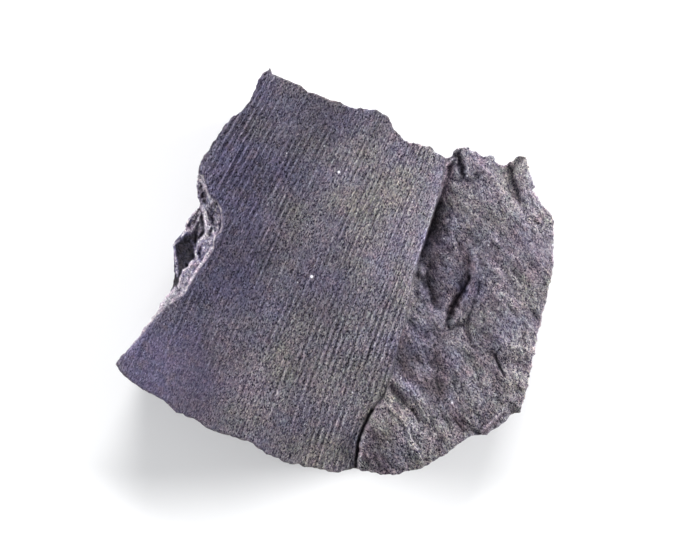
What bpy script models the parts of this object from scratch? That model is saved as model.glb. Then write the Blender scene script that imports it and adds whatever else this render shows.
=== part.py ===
"""A hand-sized slab of dark shale with the imprint of a horsetail stem on its upper face.

The slab lies on its back. Its flat underside rests at Z = 0 and the ribbed imprint faces +Z.
X runs across the slab and Y up it; the ribs of the stem climb along Y and lean towards +X.
The origin is the middle of the slab's plan, on the resting face.
The upper face is one triangulated sheet made of three regions:
  the stem imprint, a gentle arch with one crest line and one groove line for each rib,
  the matrix on the right, broken rock that starts at a scarp along the stem's edge,
  the notch on the left, where a bite of the imprint has flaked off down to lower beds.
The sides are lofted from the broken rim down through the beds of the shale to the flat underside.
Plan positions and heights are in millimetres; MM turns them into Blender's metres.
"""

import math
import random

import bmesh
import bpy
from mathutils import Vector, noise
from mathutils.geometry import delaunay_2d_cdt

MM = 0.001
NAME = "horsetail_slab"

# Stem imprint
CROWN_HEIGHT = 16.8  # upper face over the flat left half of the stem
ARCH_START = -20.0  # the stem starts to fall away to the right of this rib coordinate
ARCH_FALL = 0.0030  # fall of the arch, per mm squared
ROLL_WIDTH = 3.0  # band beside the scarp in which the surface rolls over
ROLL_DEPTH = 0.9
ROLL_FADE = (-9.0, 3.0)  # the Y where the roll is gone, and the Y from which it is full
RIB_PITCH = 1.17  # between ribs at the middle of the slab
RIB_WIDENING = 0.005  # the ribs get wider towards the left, mm per mm
RIB_RELIEF = 0.28  # crest above groove where the imprint is fresh
RIB_LEAN = 0.414  # run of a rib to the right for each mm up, at the middle
RIB_BEND = 0.0013  # growth of that lean up the slab
RIB_FAN = 0.0025  # the ribs draw together towards the top
RIB_ROW = 3.0  # between the vertices along a rib
ROWS = range(-13, 14)  # these rows cover the slab's height
HALF_RIBS = range(-90, 40)  # and these its width: even numbers are crests, odd ones grooves
RIB_MARGIN = 0.7  # the ribs stop this far from the edge of the imprint
RIB_FADE = 2.0  # and are at full height about this much further in
RIB_END_SHARE = 0.3  # share of their height that is left where they stop
WORN_PATCHES = (0.07, 0.05, 3.7)  # lumps per mm along X and Y, and the layer of the noise
LEAST_FRESH = 0.3
MEAN_FRESH = 0.65
FRESH_SPREAD = 0.9
FRESH_SPOTS = (  # X, Y and radius of a round patch, and how much crisper its ribs are
    (-17.0, 22.0, 20.0, 0.6),
    (-3.0, -18.0, 15.0, 0.4),
    (-33.0, -22.0, 18.0, -0.6),
)

# Broken surfaces
RIM_STEP = 1.35  # between the vertices of the broken rim
RIM_JITTER = 0.22
LINE_STEP = 1.6  # between the vertices of the lines that part the regions
MATRIX_STEP = 2.5  # longest edge of a facet of the matrix
MATRIX_RELIEF = 0.45
MATRIX_LUMPS = (0.22, 0.5, 8.1)  # lumps per mm along and across the grain, and their layer
GRAIN_ANGLE = math.radians(-52)  # the lumps of the matrix are drawn out down to the right
CALM_BORDER = 0.3  # vertices this near to the imprint's edge aren't moved
MERGE_GAP = 1e-3  # points of the upper face closer than this become one
SMOOTHING_REACH = 5  # rim vertices on each side that the lower beds' outline averages

# Beds of the sides, from the top: share of the rim's height at which the bed ends, share of
# the way from the ragged rim to the smooth outline of the lower beds, set-back of its face,
# and how far the ledge below it steps in where it is widest.
BEDS = (
    (0.88, 0.25, 0.10, 0.9),
    (0.71, 0.55, 0.45, 2.0),
    (0.49, 0.75, 0.70, 2.4),
    (0.27, 0.90, 1.00, 2.2),
    (0.05, 1.00, 1.50, 1.0),
)
LEDGE_DROP = 0.035  # share of the rim's height that a ledge slopes down by
LEDGE_LUMPS = 0.11  # changes of a ledge's width per mm of the rim
LEDGE_MEAN = 0.5  # width of a ledge as a share of its widest
LEDGE_SPREAD = 1.6
LEAST_LEDGE = 0.1
BED_WOBBLE = 0.08  # how much a bed's end rises and falls along the rim, as such a share
BED_LUMPS = 0.045
FACE_ROUGHNESS = 0.45  # unevenness of the broken faces between the ledges
FACE_LUMPS = 0.6
BED_SPACING = 40.0  # between the beds' layers of the noise

SHALE_COLOUR = (0.105, 0.098, 0.125, 1.0)
SHALE_ROUGHNESS = 0.72

# Outline of the slab, clockwise from the sharp tip at the top left. The edges of the
# imprint take their height from the stem; the others carry their own as a third value.
STEM_TOP_EDGE = (
    (-12.8, 39.4), (-12.3, 38.2), (-10.2, 37.3), (-6.9, 36.0), (-5.4, 34.7), (-3.6, 34.3),
    (-1.3, 33.2), (0.9, 32.7), (3.5, 31.6), (7.6, 31.4), (9.0, 30.5), (10.6, 29.0),
    (11.1, 27.6), (13.0, 25.6), (15.8, 24.9), (18.1, 24.4), (19.8, 23.0), (21.2, 22.2),
)
MATRIX_KNOB_EDGE = (
    (22.0, 22.2, 11.3), (22.5, 22.6, 11.8), (22.8, 23.4, 12.3), (23.5, 24.0, 12.5),
    (24.8, 24.3, 12.4), (25.8, 24.3, 12.8), (26.2, 23.6, 13.1), (27.3, 23.4, 13.2),
    (27.9, 22.8, 13.1), (28.7, 22.4, 13.0), (29.8, 22.7, 13.2), (30.7, 22.5, 13.4),
    (30.8, 21.6, 13.2), (31.4, 21.1, 13.0), (32.6, 20.7, 12.7), (33.3, 20.9, 12.5),
    (33.6, 21.5, 12.9), (34.5, 21.6, 13.2), (35.0, 22.3, 13.8), (35.6, 22.6, 14.1),
    (36.8, 22.3, 14.0), (37.2, 21.1, 13.6), (37.7, 19.6, 12.9), (38.2, 17.9, 12.5),
    (38.7, 16.5, 12.2), (38.2, 16.0, 12.2), (38.9, 15.3, 12.0), (39.9, 13.6, 11.6),
    (41.8, 11.5, 11.2), (42.5, 10.1, 11.4),
)
MATRIX_RIGHT_EDGE = (
    (42.4, 4.7, 12.0), (42.1, 0.1, 12.4), (40.9, -5.5, 12.6), (40.2, -7.9, 12.6),
    (38.7, -14.7, 12.6), (37.6, -20.9, 12.4), (36.7, -24.7, 12.2), (35.9, -27.4, 11.6),
)
MATRIX_FOOT_EDGE = (
    (34.1, -27.9, 11.0), (32.2, -29.9, 11.0), (29.4, -31.8, 11.5), (26.3, -31.9, 13.0),
    (23.5, -33.6, 13.6), (21.7, -35.2, 13.9), (18.6, -37.0, 14.0), (16.1, -38.3, 14.2),
    (11.1, -39.4, 14.0), (5.0, -38.7, 13.6), (3.8, -38.3, 11.6),
)
STEM_FOOT_EDGE = (
    (3.3, -38.2), (0.1, -39.0), (-1.3, -38.8), (-5.0, -37.9), (-10.2, -36.8), (-13.6, -35.3),
    (-16.2, -33.1), (-18.2, -32.5), (-22.1, -31.2), (-25.1, -30.1), (-27.3, -28.4),
    (-31.0, -27.1), (-32.9, -25.1), (-35.1, -23.8), (-38.9, -21.6), (-41.8, -19.2),
    (-42.6, -17.8), (-42.2, -17.1),
)
NOTCH_EDGE = (
    (-38.1, -12.3, 14.8), (-34.8, -7.8, 13.8), (-34.2, -6.0, 13.3), (-33.5, -5.1, 12.9),
    (-32.8, -4.3, 12.4), (-32.2, -3.4, 11.6), (-31.9, -2.3, 10.8), (-31.7, -0.8, 10.3),
    (-31.8, 1.1, 10.0), (-31.8, 3.1, 9.9), (-32.1, 5.3, 9.8), (-31.2, 6.5, 10.0),
    (-30.2, 7.7, 10.4), (-29.4, 8.5, 10.8), (-29.6, 8.9, 11.2), (-29.1, 10.0, 11.4),
    (-28.3, 11.2, 11.6), (-27.4, 12.1, 11.9), (-26.6, 12.8, 12.4), (-26.5, 13.4, 13.2),
    (-27.0, 14.4, 13.2), (-27.1, 16.1, 13.8), (-27.1, 17.7, 14.8), (-26.7, 18.8, 16.0),
)
STEM_LEFT_EDGE = (
    (-26.6, 19.5), (-26.2, 21.2), (-24.7, 23.4), (-23.0, 26.0), (-21.7, 28.2), (-19.9, 30.1),
    (-18.4, 30.8), (-16.6, 33.2), (-15.6, 35.3), (-15.3, 36.8), (-14.3, 38.1),
)

# Edges of the imprint inside the slab: the scarp on the right, the notch's rim on the left.
SCARP_CREST = (
    (21.2, 22.2), (20.1, 15.9), (18.2, 9.7), (16.4, 4.3), (14.9, -0.6), (14.1, -5.5),
    (13.1, -10.3), (11.9, -14.2), (10.5, -20.0), (9.2, -23.9), (6.7, -27.1), (5.1, -29.9),
    (3.95, -32.7), (3.5, -36.2), (3.3, -38.2),
)
NOTCH_RIM = (
    (-42.2, -17.1), (-40.1, -15.2), (-37.6, -12.5), (-35.2, -9.3), (-33.7, -7.7),
    (-32.7, -6.7), (-31.5, -6.0), (-30.6, -5.4), (-29.4, -4.6), (-28.8, -3.7), (-28.6, -2.9),
    (-27.9, -2.1), (-27.1, -0.8), (-26.4, 0.3), (-25.5, 1.5), (-24.4, 2.9), (-23.8, 3.8),
    (-23.4, 4.7), (-23.4, 5.8), (-23.2, 6.6), (-22.1, 7.7), (-21.8, 8.5), (-21.8, 9.9),
    (-22.0, 11.2), (-22.2, 12.3), (-22.6, 13.4), (-23.3, 14.1), (-24.1, 14.6), (-24.5, 15.4),
    (-24.9, 16.5), (-25.1, 17.6), (-25.5, 18.6), (-26.6, 19.5),
)

# Creases and crests of the broken rock, as lines with heights.
BROKEN_LINES = {
    "foot of the scarp": (
        (22.4, 20.4, 11.0), (21.2, 16.6, 10.9), (20.1, 13.6, 10.3), (19.4, 11.6, 9.6),
        (18.9, 9.7, 9.3), (18.3, 7.7, 9.3), (17.5, 5.8, 9.5), (16.8, 3.9, 9.9),
        (16.2, 1.9, 10.5), (15.6, -1.5, 11.2), (15.2, -6.4, 12.1), (14.1, -10.7, 12.4),
        (12.9, -14.2, 12.4), (11.3, -19.4, 12.6), (9.9, -23.3, 12.8), (8.3, -25.8, 13.0),
    ),
    "bank of the scarp": (
        (21.3, 13.4, 11.3), (21.0, 11.0, 11.3), (20.5, 8.5, 11.2), (19.5, 6.6, 11.2),
        (18.8, 5.0, 11.3), (18.0, 3.2, 11.4),
    ),
    "left bank of the knob's groove": (
        (23.0, 22.1, 12.6), (23.5, 20.2, 12.2), (23.9, 18.6, 11.9),
    ),
    "groove in the knob": (
        (24.2, 23.6, 12.2), (23.9, 22.6, 11.4), (24.1, 21.4, 10.9), (24.6, 20.4, 10.5),
        (24.8, 19.3, 10.5), (24.9, 18.3, 10.9), (25.8, 17.4, 11.8),
    ),
    "right bank of the knob's groove": (
        (25.0, 22.4, 13.2), (25.4, 20.8, 13.3), (25.6, 18.9, 12.9),
    ),
    "crease behind the horn": (
        (33.3, 20.9, 12.5), (34.1, 19.4, 12.1), (34.6, 17.6, 11.9), (35.5, 15.1, 12.0),
        (35.9, 13.0, 12.7),
    ),
    "bank behind the horn": (
        (35.2, 20.9, 13.6), (35.6, 18.6, 13.4), (36.3, 16.0, 13.1), (36.8, 13.4, 13.2),
    ),
    "crack in the right rim": ((37.6, 10.9, 12.7), (38.8, 9.9, 12.3), (39.7, 9.1, 12.5)),
    "left crease of the sunk facet": (
        (18.4, 2.1, 11.1), (17.9, 0.8, 10.8), (17.7, -1.0, 10.7), (18.1, -3.0, 10.8),
        (19.0, -5.4, 11.0), (19.8, -7.0, 11.5),
    ),
    "right crease of the sunk facet": (
        (25.6, 4.2, 12.1), (26.0, 1.5, 11.7), (25.9, -1.6, 11.2), (24.7, -3.9, 10.7),
        (23.2, -6.4, 10.5), (22.1, -9.1, 10.8), (21.7, -10.9, 11.4),
    ),
    "right bank of the sunk facet": (
        (27.0, 3.2, 13.1), (27.2, -0.6, 13.0), (25.9, -4.0, 12.4), (24.4, -6.6, 12.2),
        (23.1, -9.6, 12.4),
    ),
    "step above the sunk facet": (
        (28.0, -2.2, 12.8), (27.6, -4.6, 12.5), (26.3, -7.6, 12.1), (25.6, -10.4, 11.9),
        (26.1, -13.4, 12.1), (27.7, -15.6, 12.7),
    ),
    "pit near the right rim": ((31.2, -16.3, 12.9), (31.8, -18.3, 12.4), (31.4, -20.2, 12.7)),
    "groove above the block": (
        (10.6, -22.2, 12.4), (12.3, -24.5, 12.5), (14.3, -26.4, 12.7), (16.4, -29.0, 13.3),
    ),
    "crack at the stem's edge": (
        (7.1, -27.1, 12.4), (5.4, -29.9, 11.6), (4.3, -32.7, 11.3), (3.9, -36.4, 11.2),
        (3.8, -38.3, 11.6),
    ),
    "lip of the block": (
        (7.6, -27.0, 13.5), (5.9, -29.9, 14.4), (4.8, -32.7, 14.8), (4.4, -36.3, 14.5),
        (5.0, -38.7, 13.6),
    ),
    "edge of the top bed": (
        (29.2, -30.7, 13.1), (30.8, -28.8, 13.3), (32.2, -27.0, 13.4), (33.3, -25.3, 13.4),
    ),
    "edge of the top bed in the notch": (
        (-26.4, 17.7, 15.0), (-25.9, 16.8, 15.4), (-25.3, 16.0, 15.5), (-24.7, 15.0, 15.4),
        (-24.3, 14.1, 15.1), (-24.1, 13.0, 14.8),
    ),
    "groove under the rim of the notch": (
        (-23.1, 13.3, 15.2), (-22.7, 12.1, 15.1), (-22.5, 10.4, 15.1), (-22.5, 8.6, 15.1),
        (-22.9, 7.7, 15.2),
    ),
    "edge of the middle bed in the notch": (
        (-26.3, 12.9, 13.0), (-25.9, 12.3, 13.9), (-25.6, 11.4, 14.2), (-25.5, 9.8, 14.3),
        (-25.3, 8.1, 14.3), (-25.2, 7.2, 14.2), (-26.6, 5.8, 13.7), (-27.0, 4.6, 13.5),
        (-27.5, 2.4, 13.3), (-28.5, 1.8, 13.2), (-29.2, 1.0, 13.1), (-30.0, 0.0, 13.0),
        (-30.5, -1.2, 12.9), (-30.9, -2.5, 12.6), (-31.4, -3.4, 12.2),
    ),
    "ridge below the lens of the notch": (
        (-25.5, 9.8, 14.3), (-24.3, 8.5, 14.9), (-23.8, 7.5, 15.3), (-23.5, 6.9, 15.9),
    ),
    "foot of the middle bed in the notch": (
        (-26.5, 12.2, 11.9), (-26.1, 11.4, 12.1), (-26.1, 9.7, 12.2), (-26.0, 7.4, 11.8),
        (-27.0, 6.3, 11.5), (-27.6, 5.0, 11.2), (-28.1, 2.6, 10.8), (-29.1, 1.7, 10.8),
        (-30.0, 0.6, 10.7), (-30.7, -0.5, 10.7), (-31.2, -1.8, 10.8),
    ),
    "edge of the low bed in the notch": (
        (-26.8, 11.1, 12.3), (-27.0, 10.2, 12.2), (-27.4, 9.1, 11.9), (-28.1, 8.2, 11.6),
        (-28.8, 7.8, 11.2),
    ),
    "edge of the lowest bed in the notch": (
        (-26.7, 8.3, 11.6), (-27.3, 7.2, 11.3), (-28.1, 6.0, 11.0), (-28.5, 4.8, 10.8),
    ),
}

# Single high and low points between those lines.
BROKEN_POINTS = (
    # knob and upper plateau of the matrix
    (26.9, 19.4, 13.3), (22.9, 17.0, 11.7), (24.4, 14.0, 12.1), (29.2, 19.8, 13.3),
    (31.8, 17.5, 13.4), (29.2, 14.5, 13.0), (26.3, 12.4, 12.6), (23.0, 11.6, 11.9),
    (32.7, 13.0, 13.2), (28.3, 9.7, 13.0), (24.4, 8.9, 12.4), (31.8, 8.5, 13.4),
    (29.9, 21.3, 13.7), (32.4, 19.4, 12.8),
    # horn and right rim
    (36.2, 21.1, 14.3), (36.8, 18.6, 13.6), (37.4, 15.5, 13.2),
    (39.5, 7.2, 12.9), (36.6, 9.1, 13.7), (34.1, 11.0, 13.5),
    # sunk facet
    (22.2, 7.6, 11.9), (20.6, 4.3, 11.5), (23.0, 1.3, 12.2), (20.3, -1.2, 11.9),
    (22.2, -4.8, 12.3), (24.6, 6.4, 12.3), (16.6, -0.4, 12.0), (17.2, -4.4, 12.3),
    (18.6, -8.0, 12.5), (20.4, -9.9, 12.4), (21.0, -7.0, 12.4), (24.3, -1.0, 12.2),
    # right plateau
    (27.9, 1.9, 13.2), (29.8, -2.5, 13.7), (35.7, 4.3, 13.9), (40.1, 1.9, 13.2),
    (32.7, -7.4, 14.0), (38.0, -5.5, 13.7), (28.6, -10.3, 13.5), (33.7, -14.2, 13.9),
    (37.2, -15.2, 13.3), (29.0, -20.6, 13.4), (34.7, -22.0, 13.3), (31.4, -23.7, 13.5),
    # hollow beside the stem and the ridges below it
    (17.2, -10.3, 12.5), (16.0, -13.6, 12.2), (18.6, -12.3, 11.9), (19.3, -15.2, 11.9),
    (23.0, -14.2, 12.9), (19.0, -17.9, 11.8), (22.4, -20.6, 12.7), (16.2, -21.0, 12.6),
    (13.3, -17.5, 12.5), (11.6, -20.6, 12.5), (13.9, -22.5, 13.2), (17.4, -25.7, 13.7),
    (9.4, -25.3, 13.6), (12.3, -28.4, 14.7), (15.1, -31.9, 15.1),
    # block at the lower right
    (8.5, -30.3, 15.2), (11.4, -34.2, 15.4), (16.2, -35.6, 15.0), (19.0, -31.9, 14.9),
    (20.9, -28.4, 14.3), (24.4, -27.2, 13.9), (28.3, -25.3, 13.9), (25.9, -29.9, 13.6),
    (7.5, -35.6, 15.0), (9.4, -37.7, 14.5),
    # lens, slope and lower bed of the notch
    (-23.8, 12.2, 14.6), (-23.4, 10.7, 14.5), (-24.7, 11.2, 14.3), (-24.1, 10.3, 14.2),
    (-23.2, 9.1, 14.6), (-26.4, 16.3, 13.9), (-25.8, 14.7, 13.6), (-25.4, 13.4, 13.7),
    (-24.4, 7.4, 13.9), (-24.8, 6.2, 14.6), (-25.9, 5.4, 14.0), (-26.5, 3.3, 13.3),
    (-25.3, 4.3, 15.0), (-24.2, 5.2, 15.7), (-24.9, 3.3, 15.5), (-26.0, 2.4, 15.1),
    (-27.1, 1.3, 14.6), (-28.3, 0.3, 14.2), (-29.3, -1.4, 14.0), (-29.3, -3.1, 14.6),
    (-30.4, -4.0, 14.3), (-31.8, -5.1, 14.5), (-29.8, 5.6, 10.2), (-29.6, 3.6, 10.2),
    (-30.5, 1.9, 10.2), (-30.8, 4.3, 10.0), (-27.9, 10.9, 12.0), (-28.5, 9.7, 11.9),
    (-35.6, -9.2, 15.8), (-33.7, -7.0, 15.2),
)


def clear_scene():
    for old in list(bpy.data.objects):
        bpy.data.objects.remove(old, do_unlink=True)


# ---------------------------------------------------------------- plan geometry


def rib_coordinate(x, y):
    """Where the rib through this point crosses Y = 0."""
    return (x - RIB_LEAN * y - RIB_BEND * y * y) / (1 - RIB_FAN * y)


def rib_x(coordinate, y):
    """X of a rib at this Y, the inverse of rib_coordinate."""
    return coordinate * (1 - RIB_FAN * y) + RIB_LEAN * y + RIB_BEND * y * y


def rib_of_number(number):
    """Rib coordinate of a rib's crest; a half number is the groove beside it."""
    return RIB_PITCH / RIB_WIDENING * (1 - math.exp(-RIB_WIDENING * number))


def is_inside(x, y, polygon):
    inside = False
    for (x0, y0), (x1, y1) in zip(polygon, polygon[1:] + polygon[:1]):
        if (y0 > y) != (y1 > y) and x < x0 + (y - y0) * (x1 - x0) / (y1 - y0):
            inside = not inside
    return inside


def distance_to_line(x, y, line):
    """Shortest plan distance to a chain of straight runs."""
    nearest = math.inf
    for (x0, y0), (x1, y1) in zip(line, line[1:]):
        run_x, run_y = x1 - x0, y1 - y0
        along = ((x - x0) * run_x + (y - y0) * run_y) / (run_x**2 + run_y**2)
        along = min(1.0, max(0.0, along))
        nearest = min(nearest, math.hypot(x - x0 - along * run_x, y - y0 - along * run_y))
    return nearest


def with_shorter_runs(line, step):
    """The line with points added so that no run is much longer than step."""
    finer = []
    for start, end in zip(line, line[1:]):
        parts = max(1, round(math.dist(start[:2], end[:2]) / step))
        for part in range(parts):
            share = part / parts
            finer.append(tuple(a + (b - a) * share for a, b in zip(start, end)))
    finer.append(tuple(line[-1]))
    return finer


# ---------------------------------------------------------------- heights


def stem_height(x, y):
    """The arched surface of the imprint, without its ribs."""
    past_crown = max(0.0, rib_coordinate(x, y) - ARCH_START)
    near_scarp = max(0.0, 1 - distance_to_line(x, y, SCARP_CREST) / ROLL_WIDTH)
    gone, full = ROLL_FADE
    roll = ROLL_DEPTH * min(1.0, max(0.0, (y - gone) / (full - gone)))
    return CROWN_HEIGHT - ARCH_FALL * past_crown**2 - roll * near_scarp**2


def smooth_noise(x, y, per_mm_x, per_mm_y, layer):
    """Noise between about -1 and 1 with this many lumps per mm; every layer differs."""
    return noise.noise(Vector((x * per_mm_x, y * per_mm_y, layer)))


def freshness(x, y):
    """How crisp the ribs are here: least in worn patches, and 1 in fresh ones."""
    fresh = MEAN_FRESH + FRESH_SPREAD * smooth_noise(x, y, *WORN_PATCHES)
    for spot_x, spot_y, radius, crisper in FRESH_SPOTS:
        fresh += crisper * max(0.0, 1 - math.hypot(x - spot_x, y - spot_y) / radius)
    return min(1.0, max(LEAST_FRESH, fresh))


def lump(x, y):
    """Roughness of the broken rock, between about -1 and 1, drawn out along its grain."""
    along = x * math.cos(GRAIN_ANGLE) + y * math.sin(GRAIN_ANGLE)
    across = y * math.cos(GRAIN_ANGLE) - x * math.sin(GRAIN_ANGLE)
    return smooth_noise(along, across, *MATRIX_LUMPS)


# ---------------------------------------------------------------- upper face


def on_stem(line):
    return [(x, y, stem_height(x, y)) for x, y in line]


def outline():
    """The ragged rim of the slab as one closed list of (x, y, z)."""
    corners = (
        on_stem(STEM_TOP_EDGE)
        + list(MATRIX_KNOB_EDGE + MATRIX_RIGHT_EDGE + MATRIX_FOOT_EDGE)
        + on_stem(STEM_FOOT_EDGE)
        + list(NOTCH_EDGE)
        + on_stem(STEM_LEFT_EDGE)
    )
    rim = with_shorter_runs(corners + corners[:1], RIM_STEP)[:-1]
    dice = random.Random(11)
    kept = {corner[:2] for corner in corners}
    ragged = []
    for x, y, z in rim:
        if (x, y) not in kept:
            x += dice.uniform(-RIM_JITTER, RIM_JITTER)
            y += dice.uniform(-RIM_JITTER, RIM_JITTER)
        ragged.append((x, y, z))
    return ragged


def rib_points(stem_outline):
    """Rows of vertices along the crest and the groove of every rib of the imprint."""
    rim = stem_outline + stem_outline[:1]
    points = []
    for half_ribs in HALF_RIBS:
        coordinate = rib_of_number(half_ribs / 2)
        side = 1 if half_ribs % 2 == 0 else -1
        for row in ROWS:
            y = row * RIB_ROW
            x = rib_x(coordinate, y)
            if not is_inside(x, y, stem_outline):
                continue
            margin = distance_to_line(x, y, rim) - RIB_MARGIN
            if margin > 0:
                share = min(1.0, RIB_END_SHARE + margin / RIB_FADE)
                height = RIB_RELIEF * freshness(x, y) * share
                points.append((x, y, stem_height(x, y) + side * height / 2))
    return points


def upper_face(stem_outline):
    """Triangulates every line and point of the upper face; returns points and triangles.

    The triangulation runs in rib coordinates, where the ribs stand upright in even rows,
    so that its edges follow them.
    """
    points, edges = [], []

    def add_line(line, closed=False):
        first = len(points)
        points.extend(line)
        edges.extend((i, i + 1) for i in range(first, len(points) - 1))
        if closed:
            edges.append((len(points) - 1, first))

    add_line(outline(), closed=True)
    for border in (SCARP_CREST, NOTCH_RIM):
        add_line(on_stem(with_shorter_runs(border, LINE_STEP)))
    for line in BROKEN_LINES.values():
        add_line(line)
    points.extend(BROKEN_POINTS)
    points.extend(rib_points(stem_outline))

    flat = [Vector((rib_coordinate(x, y), y)) for x, y, z in points]
    found = delaunay_2d_cdt(flat, edges, [], 1, MERGE_GAP)
    placed = []
    for place, origins in zip(found[0], found[3]):
        height = points[origins[0]][2] if origins else CROWN_HEIGHT
        placed.append((rib_x(place.x, place.y), place.y, height))
    return placed, found[2]


def roughen_broken_rock(bm, stem_outline):
    """Splits the large facets outside the imprint and lifts their vertices unevenly."""

    def outside(vert):
        return not is_inside(vert.co.x, vert.co.y, stem_outline)

    for _ in range(3):
        long_edges = [
            edge
            for edge in bm.edges
            if edge.calc_length() > MATRIX_STEP and all(outside(v) for v in edge.verts)
        ]
        bmesh.ops.subdivide_edges(bm, edges=long_edges, cuts=1)
        bmesh.ops.triangulate(bm, faces=[face for face in bm.faces if len(face.verts) > 3])
    borders = [SCARP_CREST, NOTCH_RIM]
    for vert in bm.verts:
        x, y, _ = vert.co
        clear = all(distance_to_line(x, y, line) > CALM_BORDER for line in borders)
        if outside(vert) and clear and not vert.is_boundary:
            vert.co.z += MATRIX_RELIEF * lump(x, y)


# ---------------------------------------------------------------- sides


def ordered_rim(bm):
    """The open boundary's vertices in order, counter-clockwise as seen from above."""
    start = next(edge for edge in bm.edges if edge.is_boundary)
    loop = start.link_loops[0]
    rim = [loop.vert]
    while True:
        loop = loop.link_loop_next
        while not loop.edge.is_boundary:
            loop = loop.link_loop_radial_next.link_loop_next
        if loop.vert is rim[0]:
            return rim
        rim.append(loop.vert)


def smoothed(ring, reach):
    """The ring with each place moved to the mean of those within reach of it."""
    places = []
    for i in range(len(ring)):
        near = [ring[(i + k) % len(ring)] for k in range(-reach, reach + 1)]
        places.append(sum(near, Vector((0, 0))) / len(near))
    return places


def outward_normals(ring):
    """Unit normals of a counter-clockwise plan ring, pointing out of it."""
    normals = []
    for before, after in zip(ring[-1:] + ring[:-1], ring[1:] + ring[:1]):
        run = after - before
        normals.append(Vector((run.y, -run.x)).normalized())
    return normals


def bed_rings(rim, inner, normals, number):
    """Places of the two rings of one bed: the foot of its face and the ledge under it."""
    height_left, blend, set_back, widest_ledge = BEDS[number]
    is_lowest = number == len(BEDS) - 1
    face_foot, ledge = [], []
    for corner, middle, normal in zip(rim, inner, normals):
        plan = corner.co.xy
        inward = (middle - plan) * blend
        inward -= normal * max(0.0, inward.dot(normal))
        spot = Vector((plan.x, plan.y, BED_SPACING * number))
        rough = FACE_ROUGHNESS * noise.noise(spot * FACE_LUMPS)
        face = plan + inward - normal * max(0.0, set_back + rough)
        width = LEDGE_MEAN + LEDGE_SPREAD * noise.noise(spot * LEDGE_LUMPS)
        step = widest_ledge * min(1.0, max(LEAST_LEDGE, width))
        share = height_left
        if not is_lowest:
            share += BED_WOBBLE * noise.noise(spot * BED_LUMPS)
        drop = share if is_lowest else LEDGE_DROP
        face_foot.append((*face, corner.co.z * share))
        ledge.append((*(face - normal * step), corner.co.z * (share - drop)))
    return face_foot, ledge


def close_below(bm, rim):
    """Lofts the sides ring by ring down the beds and fills the flat underside."""
    plan = [vert.co.xy for vert in rim]
    inner = smoothed(smoothed(plan, SMOOTHING_REACH), SMOOTHING_REACH)
    normals = outward_normals(inner)
    upper = rim
    for number in range(len(BEDS)):
        for ring in bed_rings(rim, inner, normals, number):
            lower = [bm.verts.new(place) for place in ring]
            for i in range(len(rim)):
                bm.faces.new((upper[i], upper[i - 1], lower[i - 1], lower[i]))
            upper = lower
    underside = bm.faces.new(reversed(upper))
    bmesh.ops.triangulate(bm, faces=[underside])


# ---------------------------------------------------------------- the part


def shale_material():
    material = bpy.data.materials.new("dark_shale")
    material.use_nodes = True
    shader = material.node_tree.nodes["Principled BSDF"]
    shader.inputs["Base Color"].default_value = SHALE_COLOUR
    shader.inputs["Roughness"].default_value = SHALE_ROUGHNESS
    return material


def make_slab():
    stem_outline = list(STEM_TOP_EDGE + SCARP_CREST[1:-1] + STEM_FOOT_EDGE)
    stem_outline += list(NOTCH_RIM[1:-1] + STEM_LEFT_EDGE)
    points, triangles = upper_face(stem_outline)
    bm = bmesh.new()
    verts = [bm.verts.new(point) for point in points]
    for triangle in triangles:
        bm.faces.new([verts[i] for i in triangle])
    roughen_broken_rock(bm, stem_outline)
    close_below(bm, ordered_rim(bm))
    bmesh.ops.recalc_face_normals(bm, faces=bm.faces)
    bmesh.ops.scale(bm, vec=(MM, MM, MM), verts=bm.verts)
    mesh = bpy.data.meshes.new(NAME)
    bm.to_mesh(mesh)
    bm.free()
    slab = bpy.data.objects.new(NAME, mesh)
    slab.data.materials.append(shale_material())
    return slab


def main():
    clear_scene()
    collection = bpy.data.collections.new("fossil_horsetail_imprint")
    bpy.context.scene.collection.children.link(collection)
    collection.objects.link(make_slab())


main()
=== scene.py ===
"""Looks of the fossil horsetail imprint: one finely broken slab of dark shale on a pale floor.

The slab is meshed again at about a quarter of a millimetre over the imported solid: its outline,
the ribs of the stem and the beds of its sides follow the same named values as the solid, and
the broken rock takes its height from the solid's upper face. On that go the finer forms: worn
and knobbly ribs, flakes and grit of the matrix, laminae of the sides.
Plan positions and sizes are in millimetres; MM turns them into metres.
"""

import math
import random

import bmesh
import bpy
import numpy as np
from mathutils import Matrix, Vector, kdtree, noise
from mathutils.bvhtree import BVHTree
from mathutils.geometry import delaunay_2d_cdt


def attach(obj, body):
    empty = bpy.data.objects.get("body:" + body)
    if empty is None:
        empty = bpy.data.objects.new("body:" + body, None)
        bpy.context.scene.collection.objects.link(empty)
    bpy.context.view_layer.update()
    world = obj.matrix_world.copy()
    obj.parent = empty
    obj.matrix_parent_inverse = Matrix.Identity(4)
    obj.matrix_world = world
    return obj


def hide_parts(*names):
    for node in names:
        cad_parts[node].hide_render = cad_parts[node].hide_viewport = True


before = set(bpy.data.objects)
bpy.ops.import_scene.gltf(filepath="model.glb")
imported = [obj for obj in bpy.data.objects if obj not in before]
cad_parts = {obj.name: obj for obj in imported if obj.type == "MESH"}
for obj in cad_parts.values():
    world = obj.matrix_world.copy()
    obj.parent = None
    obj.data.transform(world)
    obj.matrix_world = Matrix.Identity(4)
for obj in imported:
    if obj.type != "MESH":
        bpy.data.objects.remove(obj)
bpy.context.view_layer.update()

MM = 0.001
NODE = "horsetail_slab"

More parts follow.
